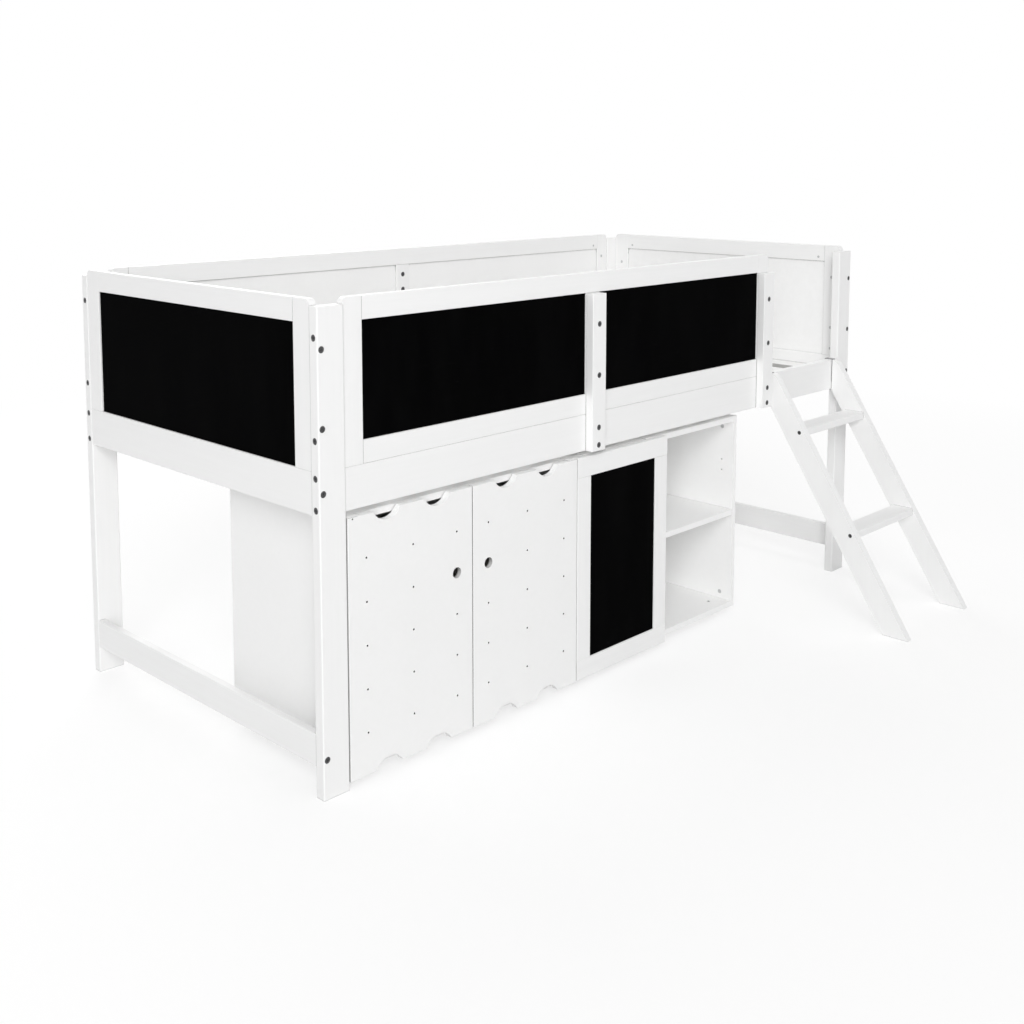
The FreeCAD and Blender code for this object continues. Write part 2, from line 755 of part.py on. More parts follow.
channels = []
for place, z in TRACKS:
    floor, rim = (0, "track_depth") if place == "top" else ("track_depth", 0)
    web = "track_wall" if place == "top" else "track_depth - track_wall"
    outline = [(0, floor), ("track_width", floor), ("track_width", rim), ("track_width - track_wall", rim),
               ("track_width - track_wall", web), ("track_wall", web), ("track_wall", rim), (0, rim)]
    channels.append(profile(f"slide_channel_{place}", ("bookcase_start", "track_start", z), outline,
                            "unit_width"))
keep_set("slide_channels", channels)

runner_back = "track_inset + door_back_gap + (track_width + runner_thick) / 2"
runner_front = f"{runner_back} - runner_thick"
hangers = []
for place in ("top", "bottom"):
    top = place == "top"
    reach = "track_depth - track_wall - runner_play + hanger_play"
    drop = "hanger_leg + door_top_gap + hanger_play" if top else "hanger_leg - door_hang + hanger_play"
    rise = f"{drop} + hanger_thick" if top else 0
    inside = drop if top else "hanger_thick"
    tip = f"{drop} - ({reach})" if top else f"hanger_thick + {reach}"
    far = 0 if top else f"{drop} + hanger_thick"
    base = "door_top - hanger_leg" if top else "foot_height - hanger_play - hanger_thick"
    outline = [(0, far), (0, rise), (runner_back, rise), (runner_back, tip), (runner_front, tip),
               (runner_front, inside), ("hanger_thick", inside), ("hanger_thick", far)]
    for x in ("slide_start + hanger_inset", "slide_start + slide_width - hanger_inset - hanger_width"):
        number = len(hangers) + 1
        hangers.append(profile(f"slide_hanger_{number}", (x, "door_thick", base), outline, "hanger_width"))
keep_set("slide_hangers", hangers)

slide_height = "door_top - door_bottom"
inner_span = "slide_width - 2 * slide_frame"
slide_groove = "slide_recess - panel_play / 2"
rails = []
for place, z, lip in (("bottom", "door_bottom", "door_bottom + slide_frame - groove_depth"),
                      ("top", "door_top - slide_frame", "door_top - slide_frame - overrun")):
    rail = board(f"slide_rail_{place}", ("slide_start", "0", z),
                 ("slide_width", "door_thick", "slide_frame"), "door_ease", "x")
    rail.trench(("slide_start + slide_frame - groove_depth", slide_groove, lip),
                (f"{inner_span} + 2 * groove_depth", "slide_board + panel_play", "groove_depth + overrun"))
    rails.append(rail)
keep_set("slide_rails", rails)
stiles = []
stile_height = f"{slide_height} - 2 * slide_frame"
for place, x, lip in (("head", "slide_start", "slide_start + slide_frame - groove_depth"),
                      ("foot", "slide_start + slide_width - slide_frame",
                       "slide_start + slide_width - slide_frame - overrun")):
    stile = board(f"slide_stile_{place}", (x, "0", "door_bottom + slide_frame"),
                  ("slide_frame", "door_thick", stile_height), "door_ease", "z")
    stile.trench((lip, slide_groove, "door_bottom + slide_frame - overrun"),
                 ("groove_depth + overrun", "slide_board + panel_play", f"{stile_height} + 2 * overrun"))
    stiles.append(stile)
keep_set("slide_stiles", stiles)
keep(board("slide_chalkboard",
           ("slide_start + slide_frame - panel_tuck", "slide_recess",
            "door_bottom + slide_frame - panel_tuck"),
           (f"{inner_span} + 2 * panel_tuck", "slide_board", f"{stile_height} + 2 * panel_tuck")))


# Hinged doors: plain boards with a grid of peg holes, a finger hole and half-round notches above and below.

PEG_COLUMNS = (-1, 0, 1)
PEG_ROWS = (-2, -1, 0, 1, 2)
FINGER_ROW = 1
DOORS = [
    ("head_door", "unit_start + door_side_gap", "unit_start + door_side_gap + pivot_edge", 1),
    ("foot_door", "unit_start + unit_width - door_width", "unit_start + unit_width - pivot_edge", -1),
]
for label, x, pivot, meeting in DOORS:
    door = board(label, (x, "0", "door_bottom"), ("door_width", "door_thick", "door_top - door_bottom"),
                 "door_ease", "z")
    centre = f"{x} + door_width / 2"
    for side in (-1, 1):
        for rim in ("door_top + notch_radius - notch_depth", "door_bottom - notch_radius + notch_depth"):
            door.bore((f"{centre} + {side} * notch_spread", "0", rim), "+y", "2 * notch_radius",
                      "door_thick", through=True)
    for column in PEG_COLUMNS:
        for row in PEG_ROWS:
            hole = "finger_diameter" if (column, row) == (meeting, FINGER_ROW) else "peg_diameter"
            point = (f"{centre} + {column} * peg_column", "0", f"door_middle + {row} * peg_row")
            door.bore(point, "+y", hole, "door_thick", through=True)
    door.bore((pivot, "pivot_front", "door_top"), "-z", "pivot_bore", "pivot_length")
    door.bore((pivot, "pivot_front", "door_bottom"), "+z", "pivot_bore", "pivot_length")
    keep(door)

plates = []
for label, x, pivot, meeting in DOORS:
    start = x if meeting > 0 else "unit_start + unit_width - pivot_width"
    nose = "pivot_front - pivot_nose"
    upper = board(f"{label}_upper_pivot", (start, nose, "unit_top"),
                  ("pivot_width", "unit_front + pivot_tail - pivot_front + pivot_nose", "pivot_plate"))
    upper.rod((pivot, "pivot_front", "unit_top"), "-z", "pivot_diameter", "pivot_length")
    crank = "door_hang + door_top_gap"
    step_front = "unit_front - pivot_front + pivot_nose"
    tail = f"{step_front} + pivot_tail"
    outline = [(0, 0), (f"{step_front} + pivot_plate", 0), (f"{step_front} + pivot_plate", crank),
               (tail, crank), (tail, f"{crank} + pivot_plate"), (step_front, f"{crank} + pivot_plate"),
               (step_front, "pivot_plate"), (0, "pivot_plate")]
    base = f"foot_height - pivot_plate - ({crank})"
    lower = profile(f"{label}_lower_pivot", (start, nose, base), outline, "pivot_width")
    lower.rod((pivot, "pivot_front", f"{base} + pivot_plate"), "+z", "pivot_diameter", "pivot_length")
    plates.extend([upper, lower])
keep_set("pivot_plates", plates)


# Ladder: sloping stringers with sawn seats, two treads and steel hooks over the front rail.

STRINGERS = (("head", "ladder_start"), ("foot", "ladder_start + ladder_width - stringer_thick"))
TREADS = ("step_height", "2 * step_height")


def tread_front(top):
    return f"ladder_run * ({top}) - ladder_reach"


for end, x in STRINGERS:
    outline = [(0, 0), ("ladder_foot", 0), ("ladder_reach", "ladder_seat_bottom"),
               ("ladder_reach", "rail_top"), ("ladder_run * rail_top", "rail_top")]
    stringer = profile(f"ladder_{end}_stringer", (x, "0 - ladder_reach", "0"), outline,
                       "stringer_thick")
    stringer.round_edges("stringer_round", "x", {"z": "high"}, {"y": "high"})
    outer, way = (x, "+x") if end == "head" else (f"{x} + stringer_thick", "-x")
    for top in TREADS:
        seat = (outer, f"{tread_front(top)} + tread_bolt_inset", f"{top} - tread_thick / 2")
        stringer.bore(seat, way, "bolt_bore", "stringer_thick", through=True)
        stringer.bore(seat, way, "tread_head_bore", "head_depth")
    keep(stringer)

treads = []
tread_start = "ladder_start + stringer_thick"
for number, top in enumerate(TREADS, start=1):
    tread = board(f"tread_{number}", (tread_start, tread_front(top), f"{top} - tread_thick"),
                  ("ladder_inside", "tread_depth", "tread_thick"), "stringer_ease", "x")
    for x, way in ((tread_start, "+x"), (f"{tread_start} + ladder_inside", "-x")):
        tread.bore((x, f"{tread_front(top)} + tread_bolt_inset", f"{top} - tread_thick / 2"), way,
                   "bolt_bore", "bolt_grip + bolt_play")
    treads.append(tread)
keep_set("ladder_treads", treads)

hooks = []
hook_span = "rail_inside + hook_play + hook_thick"
for end, x in STRINGERS:
    outline = [(0, 0), ("hook_thick", 0), ("hook_thick", "hook_front_leg"),
               (f"{hook_span} - hook_thick", "hook_front_leg"),
               (f"{hook_span} - hook_thick", "hook_front_leg - hook_back_leg"),
               (hook_span, "hook_front_leg - hook_back_leg"), (hook_span, "hook_front_leg + hook_thick"),
               (0, "hook_front_leg + hook_thick")]
    start = f"{x} + (stringer_thick - hook_width) / 2"
    hooks.append(profile(f"ladder_{end}_hook", (start, "0", "rail_top - hook_front_leg"), outline,
                         "hook_width"))
keep_set("ladder_hooks", hooks)


# Repeated fittings, each modelled once with its head or face at the origin and its length along +Z.

def spot(z):
    return ("middle_x", "middle_y", z)


def fitting(label):
    return Piece(label, spot("0"))


def bolt(label, length, head="bolt_head_diameter"):
    """A flat socket-head bolt; the length runs from the wood's face to the tip."""
    piece = fitting(label)
    piece.rod(spot("bolt_sink"), "+z", head, "bolt_head_thick")
    piece.rod(spot("bolt_sink"), "+z", "bolt_diameter", f"{length} - bolt_sink")
    sizes = {"Circumradius": "socket_across / 2", "Height": "socket_depth + overrun"}
    return piece.add("SubtractivePrism", spot("bolt_sink - overrun"), sizes)


def barrel_nut(label, axis_depth):
    """A plain barrel with a cross hole where the bolt's axis meets it."""
    piece = fitting(label)
    piece.rod(spot("nut_sink"), "+z", "nut_diameter", f"{axis_depth} - nut_sink + nut_tail")
    sizes = {"Radius": "bolt_bore / 2", "Height": "2 * nut_diameter"}
    across = ("middle_x - nut_diameter", "middle_y", axis_depth)
    return piece.add("SubtractiveCylinder", across, sizes, towards("+x"))


def plug(label, sink, diameter, length):
    return fitting(label).rod(spot(sink), "+z", diameter, length)


long_bolt = bolt("long_bolt", "post_width + bolt_grip")
short_bolt = bolt("short_bolt", "post_thick + bolt_grip")
rail_through = bolt("batten_rail_bolt", "batten_thick + rail_thick")
guard_through = bolt("batten_guard_bolt", "batten_thick + frame_thick")
tread_bolt = bolt("tread_bolt", "stringer_thick + bolt_grip", "tread_bolt_head")
frame_nut = barrel_nut("frame_nut", "frame_middle")
rail_nut = barrel_nut("rail_nut", "rail_inside - side_bolt_line")
stretcher_nut = barrel_nut("stretcher_nut", "lower_rail_bolt_rise")


def crosswise(bolt_way, nut_way):
    """The turn that lays a nut's length one way and its cross hole another."""
    aim = AXES[nut_way[1]] * (1 if nut_way[0] == "+" else -1)
    return FreeCAD.Rotation(AXES[bolt_way[1]], FreeCAD.Vector(), aim, "ZXY")


bolts = []
nuts = []
for label, x, y, heights in CORNERS:
    head = label.endswith("head")
    front = "front" in label
    (face_x, line_y, way_x), (line_x, face_y, way_y) = bolt_lines(label)
    nut_x = "post_width + nut_reach" if head else "foot_post - nut_reach"
    nut_y = "post_thick + nut_reach" if front else "back_post - nut_reach"
    for height in heights:
        bolts.append((long_bolt, (face_x, line_y, height), towards(way_x)))
        in_rail = height in RAIL_BOLTS
        thick = "rail_thick" if in_rail else "frame_thick"
        face = f"front_recess + {thick}" if front else f"bed_width - front_recess - {thick}"
        turn = crosswise(way_x, "-y" if front else "+y")
        nuts.append((rail_nut if in_rail else frame_nut, (nut_x, face, height), turn))
    for height in END_BOLTS:
        bolts.append((short_bolt, (line_x, face_y, height), towards(way_y)))
        if height in LOWER_RAIL_BOLTS:
            nuts.append((stretcher_nut, (line_x, nut_y, "lower_rail_bottom"), crosswise(way_y, "+z")))
            continue
        face = "end_recess + frame_thick" if head else "foot_frame"
        nuts.append((frame_nut, (face, nut_y, height), crosswise(way_y, "-x" if head else "+x")))
copies("post_bolts", bolts)
copies("barrel_nuts", nuts)

bolts = []
for side, places in BATTENS.items():
    front = side == "front"
    for through, heights, inside in ((guard_through, BATTEN_STILE_BOLTS[side], "back_frame"),
                                     (rail_through, BATTEN_RAIL_BOLTS[side], "back_rail")):
        face = "front_recess - batten_thick" if front else inside
        for x in places:
            bolts.extend((through, (x, face, height), towards("+y")) for height in heights)
copies("batten_bolts", bolts)

bolts = []
for end, x in STRINGERS:
    outer, way = (x, "+x") if end == "head" else (f"{x} + stringer_thick", "-x")
    for top in TREADS:
        point = (outer, f"{tread_front(top)} + tread_bolt_inset", f"{top} - tread_thick / 2")
        bolts.append((tread_bolt, point, towards(way)))
copies("tread_bolts", bolts)

frame_cam = plug("frame_cam", "nut_sink", "cam_diameter", "cam_depth")
cams = []
for end, face, away in (("head", "end_recess + frame_thick", "-x"), ("foot", "foot_frame", "+x")):
    for y in ("post_thick + nut_reach", "back_post - nut_reach"):
        cams.append((frame_cam, (face, y, "rail_top + cam_reach"), towards(away)))
    for y in ("post_thick + end_stile_width + cam_reach", "back_post - end_stile_width - cam_reach"):
        cams.append((frame_cam, (face, y, "opening_top + cam_rise"), towards(away)))
guard_inside = "front_recess + frame_thick"
cams.append((frame_cam, ("front_centre", guard_inside, "opening_top - nut_reach"), towards("-y")))
for face, away, end in ((guard_inside, "-y", "guard_end"), ("back_frame", "+y", "foot_post")):
    for x in ("post_width + frame_width + cam_reach", f"{end} - frame_width - cam_reach"):
        cams.append((frame_cam, (x, face, "opening_top + cam_rise"), towards(away)))
copies("frame_cams", cams)

unit_cam = plug("unit_cam", "0", "fitting_diameter", "fitting_depth")
pin = plug("shelf_pin", "0", "pin_diameter", "pin_length")
foot = plug("glide_foot", "0", "foot_diameter", "foot_height")
foot.rod(spot("foot_height"), "+z", "foot_stud_diameter", "foot_stud_rise")
cams = []
pins = []
feet = []
for start in ("unit_start", "bookcase_start"):
    end = f"{start} + unit_width"
    for face, away, back_x in ((f"{start} + unit_board", "-x", f"{start} + unit_board + pin_length / 2"),
                               (f"{end} - unit_board", "+x", f"{end} - unit_board - pin_length / 2")):
        for y in FITTING_ROWS:
            for z in FITTING_HEIGHTS:
                cams.append((unit_cam, (face, y, z), towards(away)))
            pins.append((pin, (back_x, y, "pin_row"), towards(away)))
    for x in (f"{start} + foot_side", f"{end} - foot_side"):
        for y in ("unit_front + foot_front", "unit_rear - foot_front"):
            feet.append((foot, (x, y, "0"), towards("+z")))
through_pin = plug("divider_pin", "0", "pin_diameter", "unit_board + pin_length")
for y in FITTING_ROWS:
    pins.append((through_pin, (f"{divider_start} - pin_length / 2", y, "pin_row"), towards("+x")))
copies("unit_cams", cams)
copies("shelf_pins", pins)
copies("glide_feet", feet)

doc.recompute()
for item in doc.Objects:
    if {"Invalid", "Error"} & set(item.State):
        raise SystemExit(f"{item.Label} failed: {item.State}")

os.makedirs("parts", exist_ok=True)
for node in parts:
    shape = node.Shape
    if shape.isNull() or not shape.isValid() or not shape.Solids:
        raise SystemExit(f"{node.Label} has no valid solid")
    shape.exportStep(f"parts/{node.Label}.step")
print(f"{len(parts)} nodes, {sum(len(node.Shape.Solids) for node in parts)} solids")
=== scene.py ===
import math

import bmesh
import bpy
import numpy as np
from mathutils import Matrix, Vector


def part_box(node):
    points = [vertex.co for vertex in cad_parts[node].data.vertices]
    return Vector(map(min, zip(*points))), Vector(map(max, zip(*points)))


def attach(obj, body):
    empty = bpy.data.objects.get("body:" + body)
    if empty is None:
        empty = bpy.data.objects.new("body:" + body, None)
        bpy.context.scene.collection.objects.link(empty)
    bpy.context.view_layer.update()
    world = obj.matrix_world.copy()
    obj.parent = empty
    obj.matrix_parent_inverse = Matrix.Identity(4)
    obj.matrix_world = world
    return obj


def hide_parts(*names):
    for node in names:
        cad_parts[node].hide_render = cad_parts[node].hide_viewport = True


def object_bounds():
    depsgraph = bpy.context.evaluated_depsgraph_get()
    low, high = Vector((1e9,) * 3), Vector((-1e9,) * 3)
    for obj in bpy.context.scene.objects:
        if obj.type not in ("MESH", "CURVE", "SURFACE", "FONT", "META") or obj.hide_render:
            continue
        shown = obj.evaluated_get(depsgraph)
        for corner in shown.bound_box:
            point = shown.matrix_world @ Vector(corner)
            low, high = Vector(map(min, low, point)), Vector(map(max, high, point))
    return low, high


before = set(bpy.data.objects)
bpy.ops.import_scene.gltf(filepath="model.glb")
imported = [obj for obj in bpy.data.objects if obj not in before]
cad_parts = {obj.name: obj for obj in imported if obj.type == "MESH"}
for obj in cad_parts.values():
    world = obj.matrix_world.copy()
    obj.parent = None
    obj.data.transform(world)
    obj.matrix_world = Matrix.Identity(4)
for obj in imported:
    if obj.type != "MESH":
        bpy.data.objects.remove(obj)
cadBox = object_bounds()
mm = 0.001


# camera: close to the photograph's own angle, from the front and the head end
cameraSet = dict(
    place=(-2.5361, -2.2642, 1.3199),
    yaw=45.722,  # from straight at the front towards the foot end
    pitch=5.914,  # looking down
    lens=44.287,
    sensor=36.0,
    shiftUp=-0.22,
)


def makeCamera(s):
    data = bpy.data.cameras.new("camera")
    data.lens = s["lens"]
    data.sensor_width = s["sensor"]
    data.shift_y = s["shiftUp"]
    cam = bpy.data.objects.new("camera", data)
    cam.location = s["place"]
    cam.rotation_euler = (math.radians(90 - s["pitch"]), 0, math.radians(-s["yaw"]))
    bpy.context.scene.collection.objects.link(cam)
    bpy.context.scene.camera = cam


makeCamera(cameraSet)
bpy.context.scene.view_settings.view_transform = "Standard"
print("camera: at", cameraSet["place"])


# small helpers for node trees
def newTree(name):
    finish = bpy.data.materials.new(name)
    finish.use_nodes = True
    tree = finish.node_tree
    tree.nodes.clear()
    return finish, tree


def addNode(tree, kind, **settings):
    node = tree.nodes.new("ShaderNode" + kind)
    for key, value in settings.items():
        setattr(node, key, value)
    return node


def feed(tree, socket, source):
    if isinstance(source, bpy.types.NodeSocket):
        tree.links.new(source, socket)
    else:
        socket.default_value = source


def sums(tree, operation, first, second):
    node = addNode(tree, "Math", operation=operation)
    feed(tree, node.inputs[0], first)
    feed(tree, node.inputs[1], second)
    return node.outputs[0]


def spread(tree, value, low, high, toLow, toHigh):  # the value's low to high becomes toLow to toHigh
    node = addNode(tree, "MapRange", clamp=True)
    feed(tree, node.inputs["Value"], value)
    for key, number in zip(("From Min", "From Max", "To Min", "To Max"), (low, high, toLow, toHigh)):
        node.inputs[key].default_value = number
    return node.outputs["Result"]


def mixed(tree, share, first, second):  # a share of the first value and the rest of the second
    return sums(tree, "ADD", sums(tree, "MULTIPLY", first, share), sums(tree, "MULTIPLY", second, 1 - share))


def noise(tree, place, scale, detail, roughness):
    node = addNode(tree, "TexNoise")
    feed(tree, node.inputs["Vector"], place)
    node.inputs["Scale"].default_value = scale
    node.inputs["Detail"].default_value = detail
    node.inputs["Roughness"].default_value = roughness
    return node.outputs["Fac"]


def blendColour(tree, share, first, second):
    node = addNode(tree, "Mix", data_type="RGBA")
    feed(tree, node.inputs["Factor"], share)
    feed(tree, node.inputs[6], first)
    feed(tree, node.inputs[7], second)
    return node.outputs[2]


def bump(tree, height, depth, strength, under=None):
    node = addNode(tree, "Bump")
    feed(tree, node.inputs["Height"], height)
    node.inputs["Distance"].default_value = depth
    node.inputs["Strength"].default_value = strength
    if under is not None:
        tree.links.new(under, node.inputs["Normal"])
    return node.outputs["Normal"]


def shader(tree, colour, roughness, normal, **constants):
    node = addNode(tree, "BsdfPrincipled")
    feed(tree, node.inputs["Base Color"], colour)
    feed(tree, node.inputs["Roughness"], roughness)
    if normal is not None:
        tree.links.new(normal, node.inputs["Normal"])
    for key, value in constants.items():
        node.inputs[key.replace("_", " ")].default_value = value
    out = addNode(tree, "OutputMaterial")
    tree.links.new(node.outputs[0], out.inputs["Surface"])


def objectPlace(tree, turn=(0, 0, 0), stretch=(1, 1, 1)):
    where = addNode(tree, "TexCoord")
    mapping = addNode(tree, "Mapping")
    mapping.inputs["Rotation"].default_value = turn
    mapping.inputs["Scale"].default_value = stretch
    tree.links.new(where.outputs["Object"], mapping.inputs["Vector"])
    return mapping.outputs["Vector"]


def splitAxes(tree, vector):
    split = addNode(tree, "SeparateXYZ")
    tree.links.new(vector, split.inputs[0])
    return split.outputs


# masks for edges, joints and faces
maskSet = dict(
    samples=6,
    arris=(0.93, 1.0),  # how far the rounded normal agrees with the face, at an edge and on a flat
    open=(0.35, 0.80),  # how open a spot is, deep in a joint and away from it
)


def arrisMask(tree, reach):  # 1 along the edges of a board, 0 on its flats
    rounded = addNode(tree, "Bevel", samples=maskSet["samples"])
    rounded.inputs["Radius"].default_value = reach
    flat = addNode(tree, "NewGeometry")
    dot = addNode(tree, "VectorMath", operation="DOT_PRODUCT")
    tree.links.new(rounded.outputs[0], dot.inputs[0])
    tree.links.new(flat.outputs["Normal"], dot.inputs[1])
    return spread(tree, dot.outputs["Value"], *maskSet["arris"], 1.0, 0.0)


# painted shade: ambient occlusion darkens the colour deep in joints and inner corners
def jointShadeMask(tree, reach):  # 1 deep in a joint or inner corner, 0 in the open
    near = addNode(tree, "AmbientOcclusion", samples=maskSet["samples"])
    near.inputs["Distance"].default_value = reach
    return spread(tree, near.outputs["AO"], *maskSet["open"], 1.0, 0.0)


def sideMask(tree, axis, least):  # 1 on the faces that look along one of the piece's own axes, either way
    flat = addNode(tree, "NewGeometry")
    own = addNode(tree, "VectorTransform", vector_type="NORMAL", convert_from="WORLD", convert_to="OBJECT")
    tree.links.new(flat.outputs["True Normal"], own.inputs[0])
    facing = splitAxes(tree, own.outputs[0])
    return sums(tree, "GREATER_THAN", sums(tree, "ABSOLUTE", facing[axis], 0.0), least)


def jointShadeColour(tree, s, top):  # painted shade for a joint, and a much darker painted shadow under the rail above a panel
    height = splitAxes(tree, objectPlace(tree))[2]
    far, near = s["underRailShadowReach"]
    share = spread(tree, height, top - far, top - near, 0.0, 1.0)
    return blendColour(tree, share, s["jointShade"], s["underRailShadow"])


# white paint over solid wood: faint fibres along the board, roller stipple, thin paint on the arrises
paintSet = dict(
    white=(0.905, 0.905, 0.904, 1),
    shade=(0.886, 0.886, 0.884, 1),
    thin=(0.845, 0.840, 0.826, 1),
    # painted shade deep in joints and inner corners, and how far it reaches
    jointShade=(0.40, 0.40, 0.395, 1),
    jointShadeReach=4.0 * mm,
    fibres=(170.0, 5, 0.62),  # patterns: scale, detail, roughness
    bands=(26.0, 3, 0.5),
    stipple=(900.0, 2, 0.5),
    cloud=(7.0, 3, 0.5),
    patch=(60.0, 4, 0.6),
    fibreStretch=0.035,
    fibreShare=0.55,  # of the tone; the bands give the rest
    toneSpan=(0.36, 0.66),
    patchSpan=(0.46, 0.66),
    arrisReach=2.2 * mm,
    arrisShare=0.35,
    sheenFibres=0.4,
    sheenSpan=(0.5, 0.9),
    rough=(0.36, 0.52),
    stippleBump=(0.06 * mm, 0.35),  # depth, strength
    fibreBump=(0.16 * mm, 0.45),
    gloss=0.25,
)
slatSet = dict(  # a thin white wash that lets the grain show
    paintSet,
    white=(0.900, 0.898, 0.893, 1),
    shade=(0.840, 0.836, 0.826, 1),
    rough=(0.50, 0.68),
    fibreBump=(0.30 * mm, 0.45),
    sawn=(0.44, 0.435, 0.425, 1),  # painted shade: the long side faces, down in the gaps between slats, are dark grey
    sawnFacing=0.7,
)
lightJointShadeSet = dict(paintSet, jointShade=(0.74, 0.74, 0.735, 1))  # a lighter painted shade in the joints


def woodPaint(name, s, turn=(0, 0, 0), along=2):
    finish, tree = newTree(name)
    stretch = [1.0, 1.0, 1.0]
    stretch[along] = s["fibreStretch"]
    grainPlace = objectPlace(tree, turn, stretch)
    plainPlace = objectPlace(tree)
    fibres = noise(tree, grainPlace, *s["fibres"])
    bands = noise(tree, grainPlace, *s["bands"])
    stipple = noise(tree, plainPlace, *s["stipple"])
    cloud = noise(tree, plainPlace, *s["cloud"])
    tone = mixed(tree, s["fibreShare"], fibres, bands)
    colour = blendColour(tree, spread(tree, tone, *s["toneSpan"], 0.0, 1.0), s["shade"], s["white"])
    patch = spread(tree, noise(tree, plainPlace, *s["patch"]), *s["patchSpan"], 0.0, s["arrisShare"])
    worn = sums(tree, "MULTIPLY", arrisMask(tree, s["arrisReach"]), patch)
    colour = blendColour(tree, worn, colour, s["thin"])
    # painted shade in joints and inner corners
    colour = blendColour(tree, jointShadeMask(tree, s["jointShadeReach"]), colour, s["jointShade"])
    # painted shade on the slats' side faces in the gaps
    if "sawn" in s:
        colour = blendColour(tree, sideMask(tree, 0, s["sawnFacing"]), colour, s["sawn"])
    sheen = sums(tree, "ADD", cloud, sums(tree, "MULTIPLY", fibres, s["sheenFibres"]))
    rough = spread(tree, sheen, *s["sheenSpan"], *s["rough"])
    normal = bump(tree, stipple, *s["stippleBump"])
    normal = bump(tree, fibres, *s["fibreBump"], normal)
    shader(tree, colour, rough, normal, Specular_IOR_Level=s["gloss"])
    return finish


# white lacquered board: doors and carcasses, a fine even stipple with no grain
boardSet = dict(
    # painted light: the carcass boards are a lighter white than the doors, to lift their shaded insides
    white=(0.925, 0.925, 0.923, 1),
    shade=(0.912, 0.912, 0.909, 1),
    thin=(0.84, 0.832, 0.812, 1),
    # painted shade deep in joints and inner corners, and how far it reaches
    jointShade=(0.74, 0.74, 0.735, 1),
    jointShadeReach=5.0 * mm,
    stipple=(620.0, 3, 0.55),
    cloud=(9.0, 4, 0.55),
    mottle=(85.0, 3, 0.6),
    patch=(70.0, 4, 0.6),
    cloudShare=0.5,
    toneSpan=(0.36, 0.64),
    patchSpan=(0.48, 0.68),
    arrisReach=2.0 * mm,
    arrisShare=0.3,
    sheenStipple=0.3,
    sheenSpan=(0.45, 0.85),
    rough=(0.40, 0.55),
    stippleBump=(0.07 * mm, 0.4),
    mottleBump=(0.12 * mm, 0.12),
    gloss=0.25,
)
underRailShadowSet = dict(  # panels that stand in deep grooves, with a painted shadow under the rail above them and a wider painted shade in their joints
    underRailShadow=(0.06, 0.06, 0.058, 1),
    underRailShadowReach=(30 * mm, 24 * mm),  # below a panel's top, where the painted shadow under the rail fades
    jointShadeReach=9.0 * mm,
)
# back panels: board paint with the painted shadow under the rail above and a lighter painted shade in joints
panelSet = {**boardSet, **underRailShadowSet, "jointShade": (0.56, 0.56, 0.555, 1)}
doorSet = dict(
    boardSet,
    white=(0.905, 0.905, 0.903, 1),
    shade=(0.892, 0.892, 0.889, 1),
    # a darker painted shade in the doors' joints
    jointShade=(0.36, 0.36, 0.355, 1),
    bareCoreShade=(0.030, 0.028, 0.026, 1),  # near-black inside the drilled holes: the unpainted core, darkened further with painted shade of the hole's inside
    boreFacing=0.5,
    boreMargin=(10 * mm, 34 * mm),  # the outer edges and the notches stay painted
    finger=(0.70, 0.695, 0.69, 1),  # paint on the wall of the finger hole; deeper in it fades to the near-black, as painted shade of the hole's inside
    # painted shade: depths at which the wall's colour fades to the near-black
    fingerShadeDepth=(8.0 * mm, 12.5 * mm),
    fingerTopShade=(0.42, 9 * mm),  # painted shade: the share of the wall's colour kept at the top of the hole, which is darker, and the reach up and down
    fingerFrom=(129 * mm, 95 * mm),  # from the door's middle towards the other door, and up
    fingerReach=15 * mm,
)


def boreMask(tree, node, s):  # 1 on the walls of holes drilled through a door, away from its edges
    low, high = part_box(node)
    place = splitAxes(tree, objectPlace(tree))
    mask = sums(tree, "SUBTRACT", 1.0, sideMask(tree, 1, s["boreFacing"]))
    for axis, edge in zip((0, 2), s["boreMargin"]):
        mask = sums(tree, "MULTIPLY", mask, sums(tree, "GREATER_THAN", place[axis], low[axis] + edge))
        mask = sums(tree, "MULTIPLY", mask, sums(tree, "LESS_THAN", place[axis], high[axis] - edge))
    return mask


def boreColour(tree, node, s, towards):
    # near-black in the holes, the bare core with painted shade; the finger hole's wall is light near the
    # door's face, with painted shade fading it to the near-black deeper in and darkening it towards the
    # hole's top
    low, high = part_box(node)
    across, up = s["fingerFrom"]
    middle = [(a + b) / 2 for a, b in zip(low, high)]
    middle[0] += towards * across
    middle[2] += up
    place = objectPlace(tree)
    gap = addNode(tree, "VectorMath", operation="DISTANCE")
    tree.links.new(place, gap.inputs[0])
    gap.inputs[1].default_value = middle
    inHole = sums(tree, "LESS_THAN", gap.outputs["Value"], s["fingerReach"])
    axes = splitAxes(tree, place)
    near, deep = s["fingerShadeDepth"]
    least, tall = s["fingerTopShade"]
    fingerLit = spread(tree, axes[1], low[1] + near, low[1] + deep, 1.0, 0.0)
    topShade = spread(tree, axes[2], middle[2] - tall, middle[2] + tall, 1.0, least)
    fingerLit = sums(tree, "MULTIPLY", sums(tree, "MULTIPLY", fingerLit, topShade), inHole)
    return blendColour(tree, fingerLit, s["bareCoreShade"], s["finger"])


